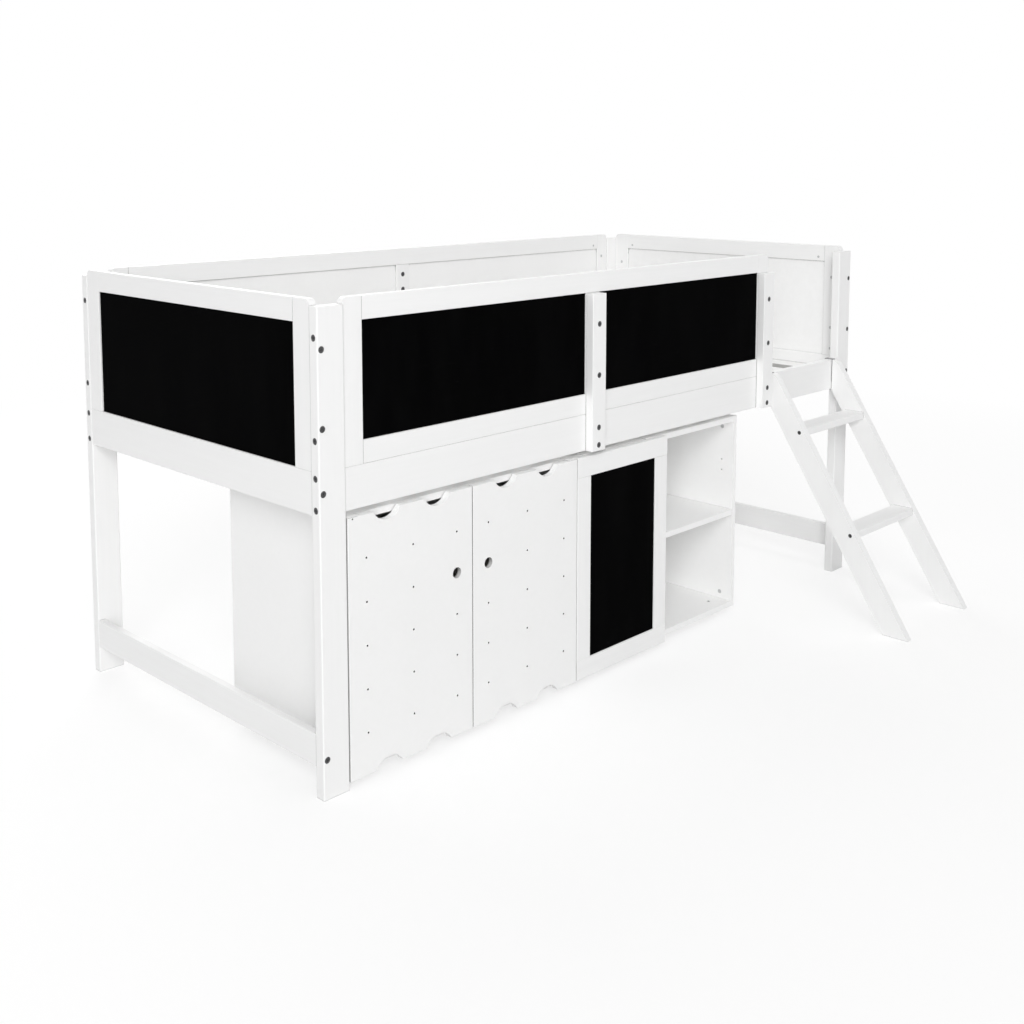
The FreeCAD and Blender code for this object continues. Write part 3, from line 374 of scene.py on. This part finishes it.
def boardPaint(name, s, door=None, towards=0, panel=None):
    finish, tree = newTree(name)
    place = objectPlace(tree)
    stipple = noise(tree, place, *s["stipple"])
    cloud = noise(tree, place, *s["cloud"])
    mottle = noise(tree, place, *s["mottle"])
    tone = mixed(tree, s["cloudShare"], cloud, mottle)
    colour = blendColour(tree, spread(tree, tone, *s["toneSpan"], 0.0, 1.0), s["shade"], s["white"])
    patch = spread(tree, noise(tree, place, *s["patch"]), *s["patchSpan"], 0.0, s["arrisShare"])
    worn = sums(tree, "MULTIPLY", arrisMask(tree, s["arrisReach"]), patch)
    colour = blendColour(tree, worn, colour, s["thin"])
    # painted shade in joints and inner corners; back panels also get the painted shadow under the rail above
    shadeColour = jointShadeColour(tree, s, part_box(panel)[1][2]) if panel else s["jointShade"]
    colour = blendColour(tree, jointShadeMask(tree, s["jointShadeReach"]), colour, shadeColour)
    # the holes' walls take the near-black of the bare core with painted shade
    if door:
        colour = blendColour(tree, boreMask(tree, door, s), colour, boreColour(tree, door, s, towards))
    sheen = sums(tree, "ADD", cloud, sums(tree, "MULTIPLY", stipple, s["sheenStipple"]))
    rough = spread(tree, sheen, *s["sheenSpan"], *s["rough"])
    normal = bump(tree, stipple, *s["stippleBump"])
    normal = bump(tree, mottle, *s["mottleBump"], normal)
    shader(tree, colour, rough, normal, Specular_IOR_Level=s["gloss"])
    return finish


# chalkboard: matt black on the show face with wiped chalk haze, white on the other face
chalkSet = dict(
    underRailShadowSet,
    black=(0.0007, 0.0007, 0.0008, 1),
    haze=(0.0026, 0.0026, 0.0027, 1),
    # painted light: the white side is a lighter white than the doors, to lift the shaded inner faces
    white=(0.925, 0.925, 0.923, 1),
    shade=(0.908, 0.908, 0.905, 1),
    # painted shade in the joints of the white side
    jointShade=(0.60, 0.60, 0.595, 1),
    grit=(1500.0, 2, 0.5),
    wipes=(11.0, 5, 0.6),
    wipeTurn=(0.5, 0.5, 0.3),
    wipeStretch=(1.0, 1.0, 0.28),
    mottle=(60.0, 3, 0.6),
    hazeSpan=(0.40, 0.75),
    toneSpan=(0.36, 0.64),
    wipeSpan=(0.3, 0.7),
    rough=(0.72, 0.92),
    gritBump=(0.05 * mm, 0.5),
    gloss=0.012,
)


def chalkPaint(name, s, node, axis, showSide):
    low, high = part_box(node)
    middle = (low[axis] + high[axis]) / 2
    finish, tree = newTree(name)
    place = objectPlace(tree)
    grit = noise(tree, place, *s["grit"])
    wipes = noise(tree, objectPlace(tree, s["wipeTurn"], s["wipeStretch"]), *s["wipes"])
    black = blendColour(tree, spread(tree, wipes, *s["hazeSpan"], 0.0, 1.0), s["black"], s["haze"])
    mottle = noise(tree, place, *s["mottle"])
    white = blendColour(tree, spread(tree, mottle, *s["toneSpan"], 0.0, 1.0), s["shade"], s["white"])
    # painted shade in the white side's joints, and the painted shadow under the rail above
    white = blendColour(tree, jointShadeMask(tree, s["jointShadeReach"]), white, jointShadeColour(tree, s, high[2]))
    across = splitAxes(tree, place)[axis]
    inside = sums(tree, "GREATER_THAN" if showSide < 0 else "LESS_THAN", across, middle)
    colour = blendColour(tree, inside, black, white)
    rough = spread(tree, wipes, *s["wipeSpan"], *s["rough"])
    normal = bump(tree, grit, *s["gritBump"])
    shader(tree, colour, rough, normal, Specular_IOR_Level=s["gloss"])
    return finish


# metals: speckle and fine scratches in the colour, scratches in the roughness
metalSet = dict(
    speckle=(700.0, 4, 0.6),
    scratch=(1800.0, 3, 0.6),
    scratchTurn=(0.4, 0.2, 0.7),
    scratchStretch=(1, 1, 0.05),
    speckleShare=0.6,
    toneSpan=(0.4, 0.65),
    scratchSpan=(0.3, 0.7),
    speckleBump=(0.03 * mm, 0.5),
)
darkSet = dict(
    metalSet, base=(0.055, 0.055, 0.057, 1), rubbed=(0.17, 0.17, 0.173, 1), rough=(0.32, 0.50), metallic=1.0)
hookSet = dict(
    metalSet, base=(0.26, 0.26, 0.265, 1), rubbed=(0.42, 0.42, 0.43, 1), rough=(0.36, 0.55), metallic=0.6)
zincSet = dict(
    metalSet, base=(0.53, 0.533, 0.54, 1), rubbed=(0.65, 0.653, 0.66, 1), rough=(0.42, 0.60), metallic=0.15)
enamelSet = dict(
    metalSet, base=(0.86, 0.86, 0.855, 1), rubbed=(0.89, 0.89, 0.887, 1), rough=(0.38, 0.50), metallic=0.0)


def fittingMetal(name, s):
    finish, tree = newTree(name)
    speckle = noise(tree, objectPlace(tree), *s["speckle"])
    scratch = noise(tree, objectPlace(tree, s["scratchTurn"], s["scratchStretch"]), *s["scratch"])
    tone = mixed(tree, s["speckleShare"], speckle, scratch)
    colour = blendColour(tree, spread(tree, tone, *s["toneSpan"], 0.0, 1.0), s["base"], s["rubbed"])
    rough = spread(tree, scratch, *s["scratchSpan"], *s["rough"])
    shader(tree, colour, rough, bump(tree, speckle, *s["speckleBump"]), Metallic=s["metallic"])
    return finish


# moulded plastic: faint flow marks under a fine spark texture
plasticSet = dict(
    base=(0.86, 0.86, 0.855, 1),
    shade=(0.82, 0.82, 0.812, 1),
    flow=(45.0, 3, 0.5),
    spark=(1600.0, 2, 0.5),
    toneSpan=(0.35, 0.65),
    flowSpan=(0.3, 0.7),
    rough=(0.40, 0.55),
    sparkBump=(0.03 * mm, 0.5),
    gloss=0.45,
)


def mouldedPlastic(name, s):
    finish, tree = newTree(name)
    place = objectPlace(tree)
    flow = noise(tree, place, *s["flow"])
    spark = noise(tree, place, *s["spark"])
    colour = blendColour(tree, spread(tree, flow, *s["toneSpan"], 0.0, 1.0), s["shade"], s["base"])
    rough = spread(tree, flow, *s["flowSpan"], *s["rough"])
    shader(tree, colour, rough, bump(tree, spark, *s["sparkBump"]), Specular_IOR_Level=s["gloss"])
    return finish


ladderLean = math.radians(32.4)  # of the stringers, from upright
paintX = woodPaint("white_paint_along_length", paintSet, along=0)
paintY = woodPaint("white_paint_across_width", paintSet, along=1)
paintZ = woodPaint("white_paint_upright", paintSet, along=2)
# paints with a lighter painted shade in their joints
lightShadeX = woodPaint("paint_light_joint_shade_along", lightJointShadeSet, along=0)
lightShadeZ = woodPaint("paint_light_joint_shade_upright", lightJointShadeSet, along=2)
slatWash = woodPaint("white_washed_slats", slatSet, along=1)
paintLean = woodPaint("white_paint_leaning", paintSet, turn=(ladderLean, 0, 0), along=2)
boardWhite = boardPaint("white_lacquered_board", boardSet)
panelWhite = boardPaint("white_back_panel", panelSet, panel="back_panels")
doorPaints = {node: boardPaint("white_lacquer_" + node, doorSet, node, towards)
              for node, towards in (("head_door", 1), ("foot_door", -1))}
darkSteel = fittingMetal("dark_steel", darkSet)
hookSteel = fittingMetal("hook_steel", hookSet)
zinc = fittingMetal("zinc_plate", zincSet)
enamel = fittingMetal("white_enamel", enamelSet)
plastic = mouldedPlastic("white_moulded_plastic", plasticSet)

finishes = {
    paintZ: ["post_front_head", "post_back_head", "head_stiles", "front_guard_stiles", "back_guard_stiles",
             "guard_battens"],
    paintX: ["front_bed_rail", "back_bed_rail", "slat_cleats", "ladder_treads", "front_guard_top_rail",
             "front_guard_low_rails", "back_guard_top_rail", "back_guard_low_rails"],
    paintY: ["head_top_rail", "head_bed_rail", "head_lower_rail", "foot_top_rail", "foot_bed_rail",
             "foot_lower_rail"],
    slatWash: ["slats"],
    lightShadeX: ["slide_rails"],
    lightShadeZ: ["slide_stiles", "foot_stiles", "post_front_foot", "post_back_foot"],
    paintLean: ["ladder_head_stringer", "ladder_foot_stringer"],
    panelWhite: ["back_panels"],
    boardWhite: ["cupboard_sides", "cupboard_top", "cupboard_bottom", "cupboard_back", "cupboard_shelf",
                 "bookcase_sides", "bookcase_top", "bookcase_bottom", "bookcase_back", "bookcase_divider",
                 "bookcase_shelves"],
    enamel: ["pivot_plates", "slide_hangers"],
    hookSteel: ["ladder_hooks"],
    darkSteel: ["post_bolts", "batten_bolts", "tread_bolts"],
    zinc: ["shelf_pins", "barrel_nuts", "frame_cams", "unit_cams"],
    plastic: ["glide_feet", "slide_channels"],
}


def dress(node, finish):
    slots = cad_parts[node].data.materials
    slots.clear()
    slots.append(finish)


for node, finish in doorPaints.items():
    dress(node, finish)
for finish, nodes in finishes.items():
    for node in nodes:
        dress(node, finish)
for node, axis, showSide in (("front_chalkboards", 1, -1), ("head_chalkboard", 0, -1),
                             ("foot_chalkboard", 0, 1), ("slide_chalkboard", 1, -1)):
    dress(node, chalkPaint("chalk_paint_" + node, chalkSet, node, axis, showSide))
print("finishes:", len(bpy.data.materials), "materials")


# fittings: every place is read from the solids of the bed's own fittings
def solidBoxes(node):
    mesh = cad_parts[node].data
    points = np.empty(len(mesh.vertices) * 3, np.float32)
    mesh.vertices.foreach_get("co", points)
    corners = np.empty(len(mesh.loops), np.int32)
    mesh.loops.foreach_get("vertex_index", corners)
    places, same = np.unique(points.reshape(-1, 3), axis=0, return_inverse=True)
    triangles = same.reshape(-1)[corners].reshape(-1, 3)
    label = np.arange(len(places))
    while True:  # a triangle's corners take the lowest label among them until none changes
        lowest = label.copy()
        np.minimum.at(lowest, triangles.ravel(), np.repeat(label[triangles].min(1), 3))
        if np.array_equal(lowest, label):
            break
        label = lowest
    groups = [places[label == k] for k in np.unique(label)]
    return np.array([g.min(0) for g in groups]), np.array([g.max(0) for g in groups])


def faceSpots(low, high, middle, outward):
    # each solid's show face: its axis is the side that differs from the other two, turned from the middle
    # where outward is 1 and towards it where outward is -1
    size = high - low
    others = (size.sum(1, keepdims=True) - size) / 2
    axis = np.abs(size - others).argmax(1)
    row = np.arange(len(axis))
    spots = (low + high) / 2
    beyond = spots[row, axis] > np.broadcast_to(middle, spots.shape)[row, axis]
    side = np.where(beyond, outward, -outward)
    spots[row, axis] = np.where(side > 0, high[row, axis], low[row, axis])
    aims = np.zeros_like(spots)
    aims[row, axis] = side
    return spots, aims, size[row, axis]


def scatter(shape, tail, spots, aims, lengths, spins):
    # one shape at many places: x and y turn by the spin, z runs along the aim, the tail reaches the
    # solid's length
    x = shape[:, 0] * np.cos(spins)[:, None] - shape[:, 1] * np.sin(spins)[:, None]
    y = shape[:, 0] * np.sin(spins)[:, None] + shape[:, 1] * np.cos(spins)[:, None]
    z = shape[:, 2] - tail * np.asarray(lengths)[:, None]
    up = np.where(np.abs(aims[:, 2:]) > 0.5, [[0.0, 1.0, 0.0]], [[0.0, 0.0, 1.0]])
    across = np.cross(up, aims)
    flat = x[..., None] * across[:, None] + y[..., None] * up[:, None]
    return spots[:, None] + flat + z[..., None] * aims[:, None]


def gridFaces(rows, columns):
    # quads of a grid whose columns close on themselves
    row, column = np.meshgrid(np.arange(rows - 1), np.arange(columns), indexing="ij")
    below, right = row + 1, (column + 1) % columns
    return np.stack([row * columns + column, row * columns + right,
                     below * columns + right, below * columns + column], -1).reshape(-1, 4)


meshSet = dict(weld=0.004 * mm, sharp=38)


def addPiece(name, points, faces, finish, body, nodes=()):
    count = points.shape[1]
    quads = (faces[None] + np.arange(len(points))[:, None, None] * count).reshape(-1, 4)
    mesh = bpy.data.meshes.new(name)
    mesh.from_pydata(points.reshape(-1, 3).tolist(), [], quads.tolist())
    welded = bmesh.new()
    welded.from_mesh(mesh)
    bmesh.ops.remove_doubles(welded, verts=welded.verts, dist=meshSet["weld"])
    bmesh.ops.recalc_face_normals(welded, faces=welded.faces)
    welded.to_mesh(mesh)
    welded.free()
    mesh.polygons.foreach_set("use_smooth", np.ones(len(mesh.polygons), bool))
    mesh.set_sharp_from_angle(angle=math.radians(meshSet["sharp"]))
    mesh.materials.append(finish)
    piece = bpy.data.objects.new(name, mesh)
    bpy.context.scene.collection.objects.link(piece)
    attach(piece, body)
    if nodes:
        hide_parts(*nodes)
    print("piece:", name, len(points), "of", len(faces), "faces")


spinSeed = 7
draw = np.random.default_rng(spinSeed)


# socket bolts: dished heads with a hexagon socket
boltSet = dict(
    sides=36,
    treadScale=11 / 14,  # the ladder's bolts have smaller heads
    studScale=9.4 / 14,  # and the glide feet's studs smaller still
    clear=1.0,  # a spot this far behind the bed turns every batten bolt's head to the front
    #        radius, height, share of hexagon, share of the bolt's length
    profile=np.array([
        (0.00, -1.80, 1, 0), (2.50, -1.80, 1, 0), (2.50, -0.35, 1, 0), (2.78, -0.12, 1, 0),
        (3.30, -0.03, 0, 0), (4.80, 0.00, 0, 0), (6.10, -0.12, 0, 0), (6.65, -0.38, 0, 0),
        (6.92, -0.80, 0, 0), (7.00, -1.30, 0, 0), (7.00, -2.60, 0, 0), (3.00, -2.60, 0, 0),
        (3.00, 1.00, 0, 1), (2.30, 0.00, 0, 1), (0.00, 0.00, 0, 1)]),
)


def boltShape(s):
    # a profile turned about the bolt's axis; in the socket the radius follows a hexagon's flats
    angle = np.linspace(0, 2 * math.pi, s["sides"], endpoint=False)
    flats = 1 / np.cos((angle + math.pi / 6) % (math.pi / 3) - math.pi / 6)
    radius, height, hexagon, tail = s["profile"].T
    reach = radius[:, None] * mm * (1 + hexagon[:, None] * (flats - 1))
    depth = np.broadcast_to(height[:, None] * mm, reach.shape)
    points = np.stack([reach * np.cos(angle), reach * np.sin(angle), depth], -1).reshape(-1, 3)
    return points, np.repeat(tail, s["sides"]), gridFaces(len(radius), s["sides"])


def addBolts(name, node, body, middle=None, scale=1.0):
    low, high = solidBoxes(node)
    middle = (low.min(0) + high.max(0)) / 2 if middle is None else middle
    spots, aims, lengths = faceSpots(low, high, middle, 1)
    shape, tail, faces = boltShape(boltSet)
    shape = shape * (scale, scale, 1.0)
    spins = draw.uniform(0, 2 * math.pi, len(spots))
    points = scatter(shape, tail, spots, aims, lengths, spins)
    addPiece(name, points, faces, darkSteel, body, [node])


behindBed = np.array(cadBox[1]) + boltSet["clear"]
addBolts("post_bolt_set", "post_bolts", "bed")
addBolts("batten_bolt_set", "batten_bolts", "bed", middle=behindBed)
addBolts("tread_bolt_set", "tread_bolts", "ladder", scale=boltSet["treadScale"])


# round fittings with a driver's slot or cross in the face: cams, barrel nuts and screw heads
discSet = dict(  # the grid of a slotted disc, in shares of its radius
    wall=0.012,  # width of a slot's wall
    clear=4,  # walls between a slot and the next line of the grid
    ring=0.9,
    rim=0.985,
    hair=1e-6,
)
nutSet = dict(
    radius=5.0 * mm, slot=0.62 * mm, cross=0.0, arms=1.1, hollow=0.8 * mm, chamfer=0.35 * mm, steps=16)
camSet = dict(
    radius=4.0 * mm, slot=0.75 * mm, cross=0.75 * mm, arms=0.62, hollow=0.8 * mm, chamfer=0.3 * mm, steps=16)
unitCamSet = dict(
    radius=6.0 * mm, slot=0.8 * mm, cross=0.8 * mm, arms=0.55, hollow=0.9 * mm, chamfer=0.4 * mm, steps=20)
screwSet = dict(
    radius=3.6 * mm, slot=0.5 * mm, cross=0.5 * mm, arms=0.6, hollow=1.0 * mm, chamfer=0.5 * mm, steps=14)


def slottedShape(s):
    # a disc as strips: x follows the first parameter, y the second times the half chord at x, so a slot's
    # walls are straight; the second parameter goes over the face and back under it, so the solid is closed
    r = s["radius"]
    step, hair = discSet["wall"], discSet["hair"]
    wall = s["slot"] / r
    cross = max(s["cross"] / r, step)
    walls = np.array([-wall - step, -wall, wall, wall + step])
    ends = np.array([-s["arms"] - step, -s["arms"], s["arms"], s["arms"] + step])
    ends = ends[np.abs(ends) < 1]
    chords = np.sin(np.linspace(-math.pi / 2, math.pi / 2, s["steps"] + 1))
    chords = chords[np.abs(chords) > wall + discSet["clear"] * step]
    u = np.unique(np.concatenate([chords, walls, ends, [0.0]]))
    half = np.array([cross, cross + step, discSet["ring"], 1.0])
    half = np.unique(np.concatenate([-half, [0.0], half, ends]))
    v = np.concatenate([half, half[::-1]])
    under = np.concatenate([np.zeros(len(half)), np.ones(len(half))])
    gridU, gridV = np.meshgrid(u, v, indexing="ij")
    tail = np.broadcast_to(under, gridU.shape)
    x = r * gridU
    y = r * gridV * np.sqrt(np.clip(1 - gridU ** 2, 0, None))
    arms = s["arms"] + hair
    inSlot = (np.abs(gridU) <= wall + hair) & (np.abs(gridV) <= arms)
    inCross = (np.abs(gridV) <= cross + hair) & (np.abs(gridU) <= arms) & (s["cross"] > 0)
    rim = np.hypot(x, y) > discSet["rim"] * r
    z = -s["hollow"] * (inSlot | inCross) - s["chamfer"] * rim
    z = np.where(tail > 0, 0.0, z)
    points = np.stack([x, y, z], -1).reshape(-1, 3)
    return points, tail.reshape(-1), gridFaces(*gridU.shape)


def addRound(name, s, spots, aims, lengths, finish, body, slot, nodes=()):
    shape, tail, faces = slottedShape(s)
    spins = draw.uniform(0, 2 * math.pi, len(spots))
    points = scatter(shape, tail, spots, aims, lengths, spins)
    addPiece(name, points, faces, finish, body, nodes)


bedMiddle = (np.array(cadBox[0]) + np.array(cadBox[1])) / 2
bedMiddle[1] = (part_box("post_front_head")[0][1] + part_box("post_back_head")[1][1]) / 2
nudge = 1 * mm
bedMiddle[2] = cadBox[0][2] - nudge  # upright nuts show their lower ends
nuts = faceSpots(*solidBoxes("barrel_nuts"), bedMiddle, -1)
addRound("barrel_nut_set", nutSet, *nuts, zinc, "bed", "zinc", ["barrel_nuts"])
cams = faceSpots(*solidBoxes("frame_cams"), bedMiddle, -1)
addRound("frame_cam_set", camSet, *cams, zinc, "bed", "zinc", ["frame_cams"])
unitLow, unitHigh = solidBoxes("unit_cams")
unitMiddle = np.broadcast_to(bedMiddle, unitLow.shape).copy()
cupboard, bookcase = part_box("cupboard_bottom"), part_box("bookcase_bottom")
inBookcase = unitLow[:, 0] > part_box("cupboard_sides")[1][0] - nudge
cupboardMiddle = (cupboard[0][0] + cupboard[1][0]) / 2
bookcaseMiddle = (bookcase[0][0] + bookcase[1][0]) / 2
unitMiddle[:, 0] = np.where(inBookcase, bookcaseMiddle, cupboardMiddle)
unitCams = faceSpots(unitLow, unitHigh, unitMiddle, -1)
addRound("unit_cam_set", unitCamSet, *unitCams, zinc, "bed", "zinc", ["unit_cams"])


# slat screws: one through each end of a slat into the cleat below
slatScrewSet = dict(inset=12.5 * mm, proud=0.3 * mm, depth=1.6 * mm)


def slatScrews(s):
    low, high = solidBoxes("slats")
    x = np.tile((low[:, 0] + high[:, 0]) / 2, 2)
    y = np.concatenate([low[:, 1] + s["inset"], high[:, 1] - s["inset"]])
    spots = np.stack([x, y, np.tile(high[:, 2] + s["proud"], 2)], -1)
    aims = np.broadcast_to([0.0, 0.0, 1.0], spots.shape)
    addRound("slat_screw_set", screwSet, spots, aims, np.full(len(spots), s["depth"]), zinc, "bed", "zinc")


slatScrews(slatScrewSet)


# glide feet: a turned foot with a soft base, a waist and shallow flutes for the fingers
footSet = dict(
    sides=48,
    flutes=12,
    fluteDepth=0.5,
    #        radius, height, share of flute; the foot is 15 in radius and 22 tall in its own drawing
    profile=np.array([
        (0.0, 0.0, 0), (13.2, 0.0, 0), (14.4, 0.5, 0), (15.0, 1.6, 0), (15.0, 5.2, 0), (14.5, 6.2, 0),
        (12.6, 7.0, 0), (12.2, 8.0, 1), (12.2, 13.6, 1), (12.6, 14.6, 0), (14.4, 15.2, 0), (15.0, 16.0, 0),
        (15.0, 21.4, 0), (14.4, 22.0, 0), (0.0, 22.0, 0)]),
)


def glideFeet(s):
    # a profile turned about the foot's axis; along the waist the radius dips in a cosine of the angle
    angle = np.linspace(0, 2 * math.pi, s["sides"], endpoint=False)
    radius, height, flute = s["profile"].T
    reach = radius[:, None] - flute[:, None] * s["fluteDepth"] * (1 + np.cos(angle * s["flutes"])) / 2
    tall = np.broadcast_to(height[:, None], reach.shape)
    shape = np.stack([reach * np.cos(angle), reach * np.sin(angle), tall], -1).reshape(-1, 3) * mm
    low, high = solidBoxes("glide_feet")
    spots = (low + high) / 2
    spots[:, 2] = low[:, 2]
    points = spots[:, None] + shape[None]
    faces = gridFaces(len(radius), s["sides"])
    addPiece("glide_foot_set", points, faces, plastic, "bed", ["glide_feet"])


glideFeet(footSet)


# levelling studs of the glide feet, reached through a hole in the board above each foot
def footStuds(scale):
    low, high = solidBoxes("glide_feet")
    spots = (low + high) / 2
    spots[:, 2] = high[:, 2]
    lengths = high[:, 2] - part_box("cupboard_bottom")[0][2]
    shape, tail, faces = boltShape(boltSet)
    shape = shape * (scale, scale, 1.0)
    aims = np.broadcast_to([0.0, 0.0, 1.0], spots.shape)
    spins = draw.uniform(0, 2 * math.pi, len(spots))
    points = scatter(shape, tail, spots, aims, lengths, spins)
    addPiece("foot_stud_set", points, faces, darkSteel, "bed")


footStuds(boltSet["studScale"])


# the small dark pin head in the corner of the head end door
doorPinSet = dict(fromSide=12.6 * mm, fromTop=3.6 * mm, proud=0.25 * mm, depth=2.0 * mm)
pinShape = dict(radius=1.8 * mm, slot=0.0, cross=0.0, arms=0.2, hollow=0.0, chamfer=0.2 * mm, steps=14)


def doorPin(s):
    low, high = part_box("head_door")
    spots = np.array([[low[0] + s["fromSide"], low[1] - s["proud"], high[2] - s["fromTop"]]])
    aims = np.array([[0.0, -1.0, 0.0]])
    addRound("door_pin", pinShape, spots, aims, [s["depth"]], darkSteel, "head_door", "dark_steel")


doorPin(doorPinSet)


# floor and light: a white floor that fades to bare white, five broad lamps and an even sky
floorSet = dict(
    reach=14.0,
    bounce=(0.86, 0.86, 0.86, 1),
    shadow=(0.36, 0.36, 0.36, 1),
    lift=0.66,
    plainFrom=1.7,  # further out than this the floor fades to bare white
    plainTo=4.2,
)
skySet = dict(level=0.29, seen=1.0)
lampSet = dict(
    key=dict(place=(-7.2, -7.8, 7.3), aim=(0.1, 0.0, 0.5), size=5.0, watts=580.0),
    low=dict(place=(-9.3, -8.0, 3.4), aim=(0.1, 0.0, 0.5), size=5.5, watts=420.0),
    top=dict(place=(0.2, -1.4, 6.5), aim=(0.1, 0.0, 0.5), size=6.0, watts=84.0),
    rim=dict(place=(1.0, 5.5, 6.0), aim=(0.1, 0.0, 0.5), size=5.0, watts=155.0),
    back=dict(place=(3.0, 7.0, 4.0), aim=(0.0, 0.1, 0.5), size=4.5, watts=140.0),
)


def seenDirectly(tree):
    path = addNode(tree, "LightPath")
    both = sums(tree, "MAXIMUM", path.outputs["Is Camera Ray"], path.outputs["Is Glossy Ray"])
    return sums(tree, "MAXIMUM", both, path.outputs["Is Transmission Ray"])


def makeFloor(s):
    r = s["reach"]
    mesh = bpy.data.meshes.new("floor")
    mesh.from_pydata([(-r, -r, 0), (r, -r, 0), (r, r, 0), (-r, r, 0)], [], [(0, 1, 2, 3)])
    floor = bpy.data.objects.new("floor", mesh)
    bpy.context.scene.collection.objects.link(floor)
    finish, tree = newTree("floor_white")
    bounce = addNode(tree, "BsdfDiffuse")
    bounce.inputs["Color"].default_value = s["bounce"]
    shaded = addNode(tree, "BsdfDiffuse")
    shaded.inputs["Color"].default_value = s["shadow"]
    lift = addNode(tree, "Emission")
    lift.inputs["Color"].default_value = (1, 1, 1, 1)
    lift.inputs["Strength"].default_value = s["lift"]
    both = addNode(tree, "AddShader")
    tree.links.new(shaded.outputs[0], both.inputs[0])
    tree.links.new(lift.outputs[0], both.inputs[1])
    far = addNode(tree, "VectorMath", operation="LENGTH")
    tree.links.new(objectPlace(tree), far.inputs[0])
    plain = addNode(tree, "Emission")
    fade = addNode(tree, "MixShader")
    tree.links.new(spread(tree, far.outputs["Value"], s["plainFrom"], s["plainTo"], 0.0, 1.0), fade.inputs[0])
    tree.links.new(both.outputs[0], fade.inputs[1])
    tree.links.new(plain.outputs[0], fade.inputs[2])
    choose = addNode(tree, "MixShader")
    tree.links.new(seenDirectly(tree), choose.inputs[0])
    tree.links.new(bounce.outputs[0], choose.inputs[1])
    tree.links.new(fade.outputs[0], choose.inputs[2])
    out = addNode(tree, "OutputMaterial")
    tree.links.new(choose.outputs[0], out.inputs["Surface"])
    mesh.materials.append(finish)


def makeSky(s):
    world = bpy.data.worlds.new("studio")
    world.use_nodes = True
    tree = world.node_tree
    tree.nodes.clear()
    glow = addNode(tree, "Background")
    glow.inputs["Color"].default_value = (1, 1, 1, 1)
    tree.links.new(spread(tree, seenDirectly(tree), 0.0, 1.0, s["level"], s["seen"]), glow.inputs["Strength"])
    out = addNode(tree, "OutputWorld")
    tree.links.new(glow.outputs[0], out.inputs["Surface"])
    bpy.context.scene.world = world


def makeLamp(name, s):
    data = bpy.data.lights.new(name, "AREA")
    data.shape = "SQUARE"
    data.size = s["size"]
    data.energy = s["watts"]
    lamp = bpy.data.objects.new(name, data)
    lamp.location = s["place"]
    aim = Vector(s["aim"]) - lamp.location
    lamp.rotation_euler = aim.to_track_quat("-Z", "Y").to_euler()
    bpy.context.scene.collection.objects.link(lamp)


makeFloor(floorSet)
makeSky(skySet)
for name, s in lampSet.items():
    makeLamp("lamp_" + name, s)
bounceSet = dict(diffuse=12, all=24)  # white boards pass light on many times
bpy.context.scene.cycles.diffuse_bounces = bounceSet["diffuse"]
bpy.context.scene.cycles.max_bounces = bounceSet["all"]
print("light:", len(lampSet), "lamps and a white floor")
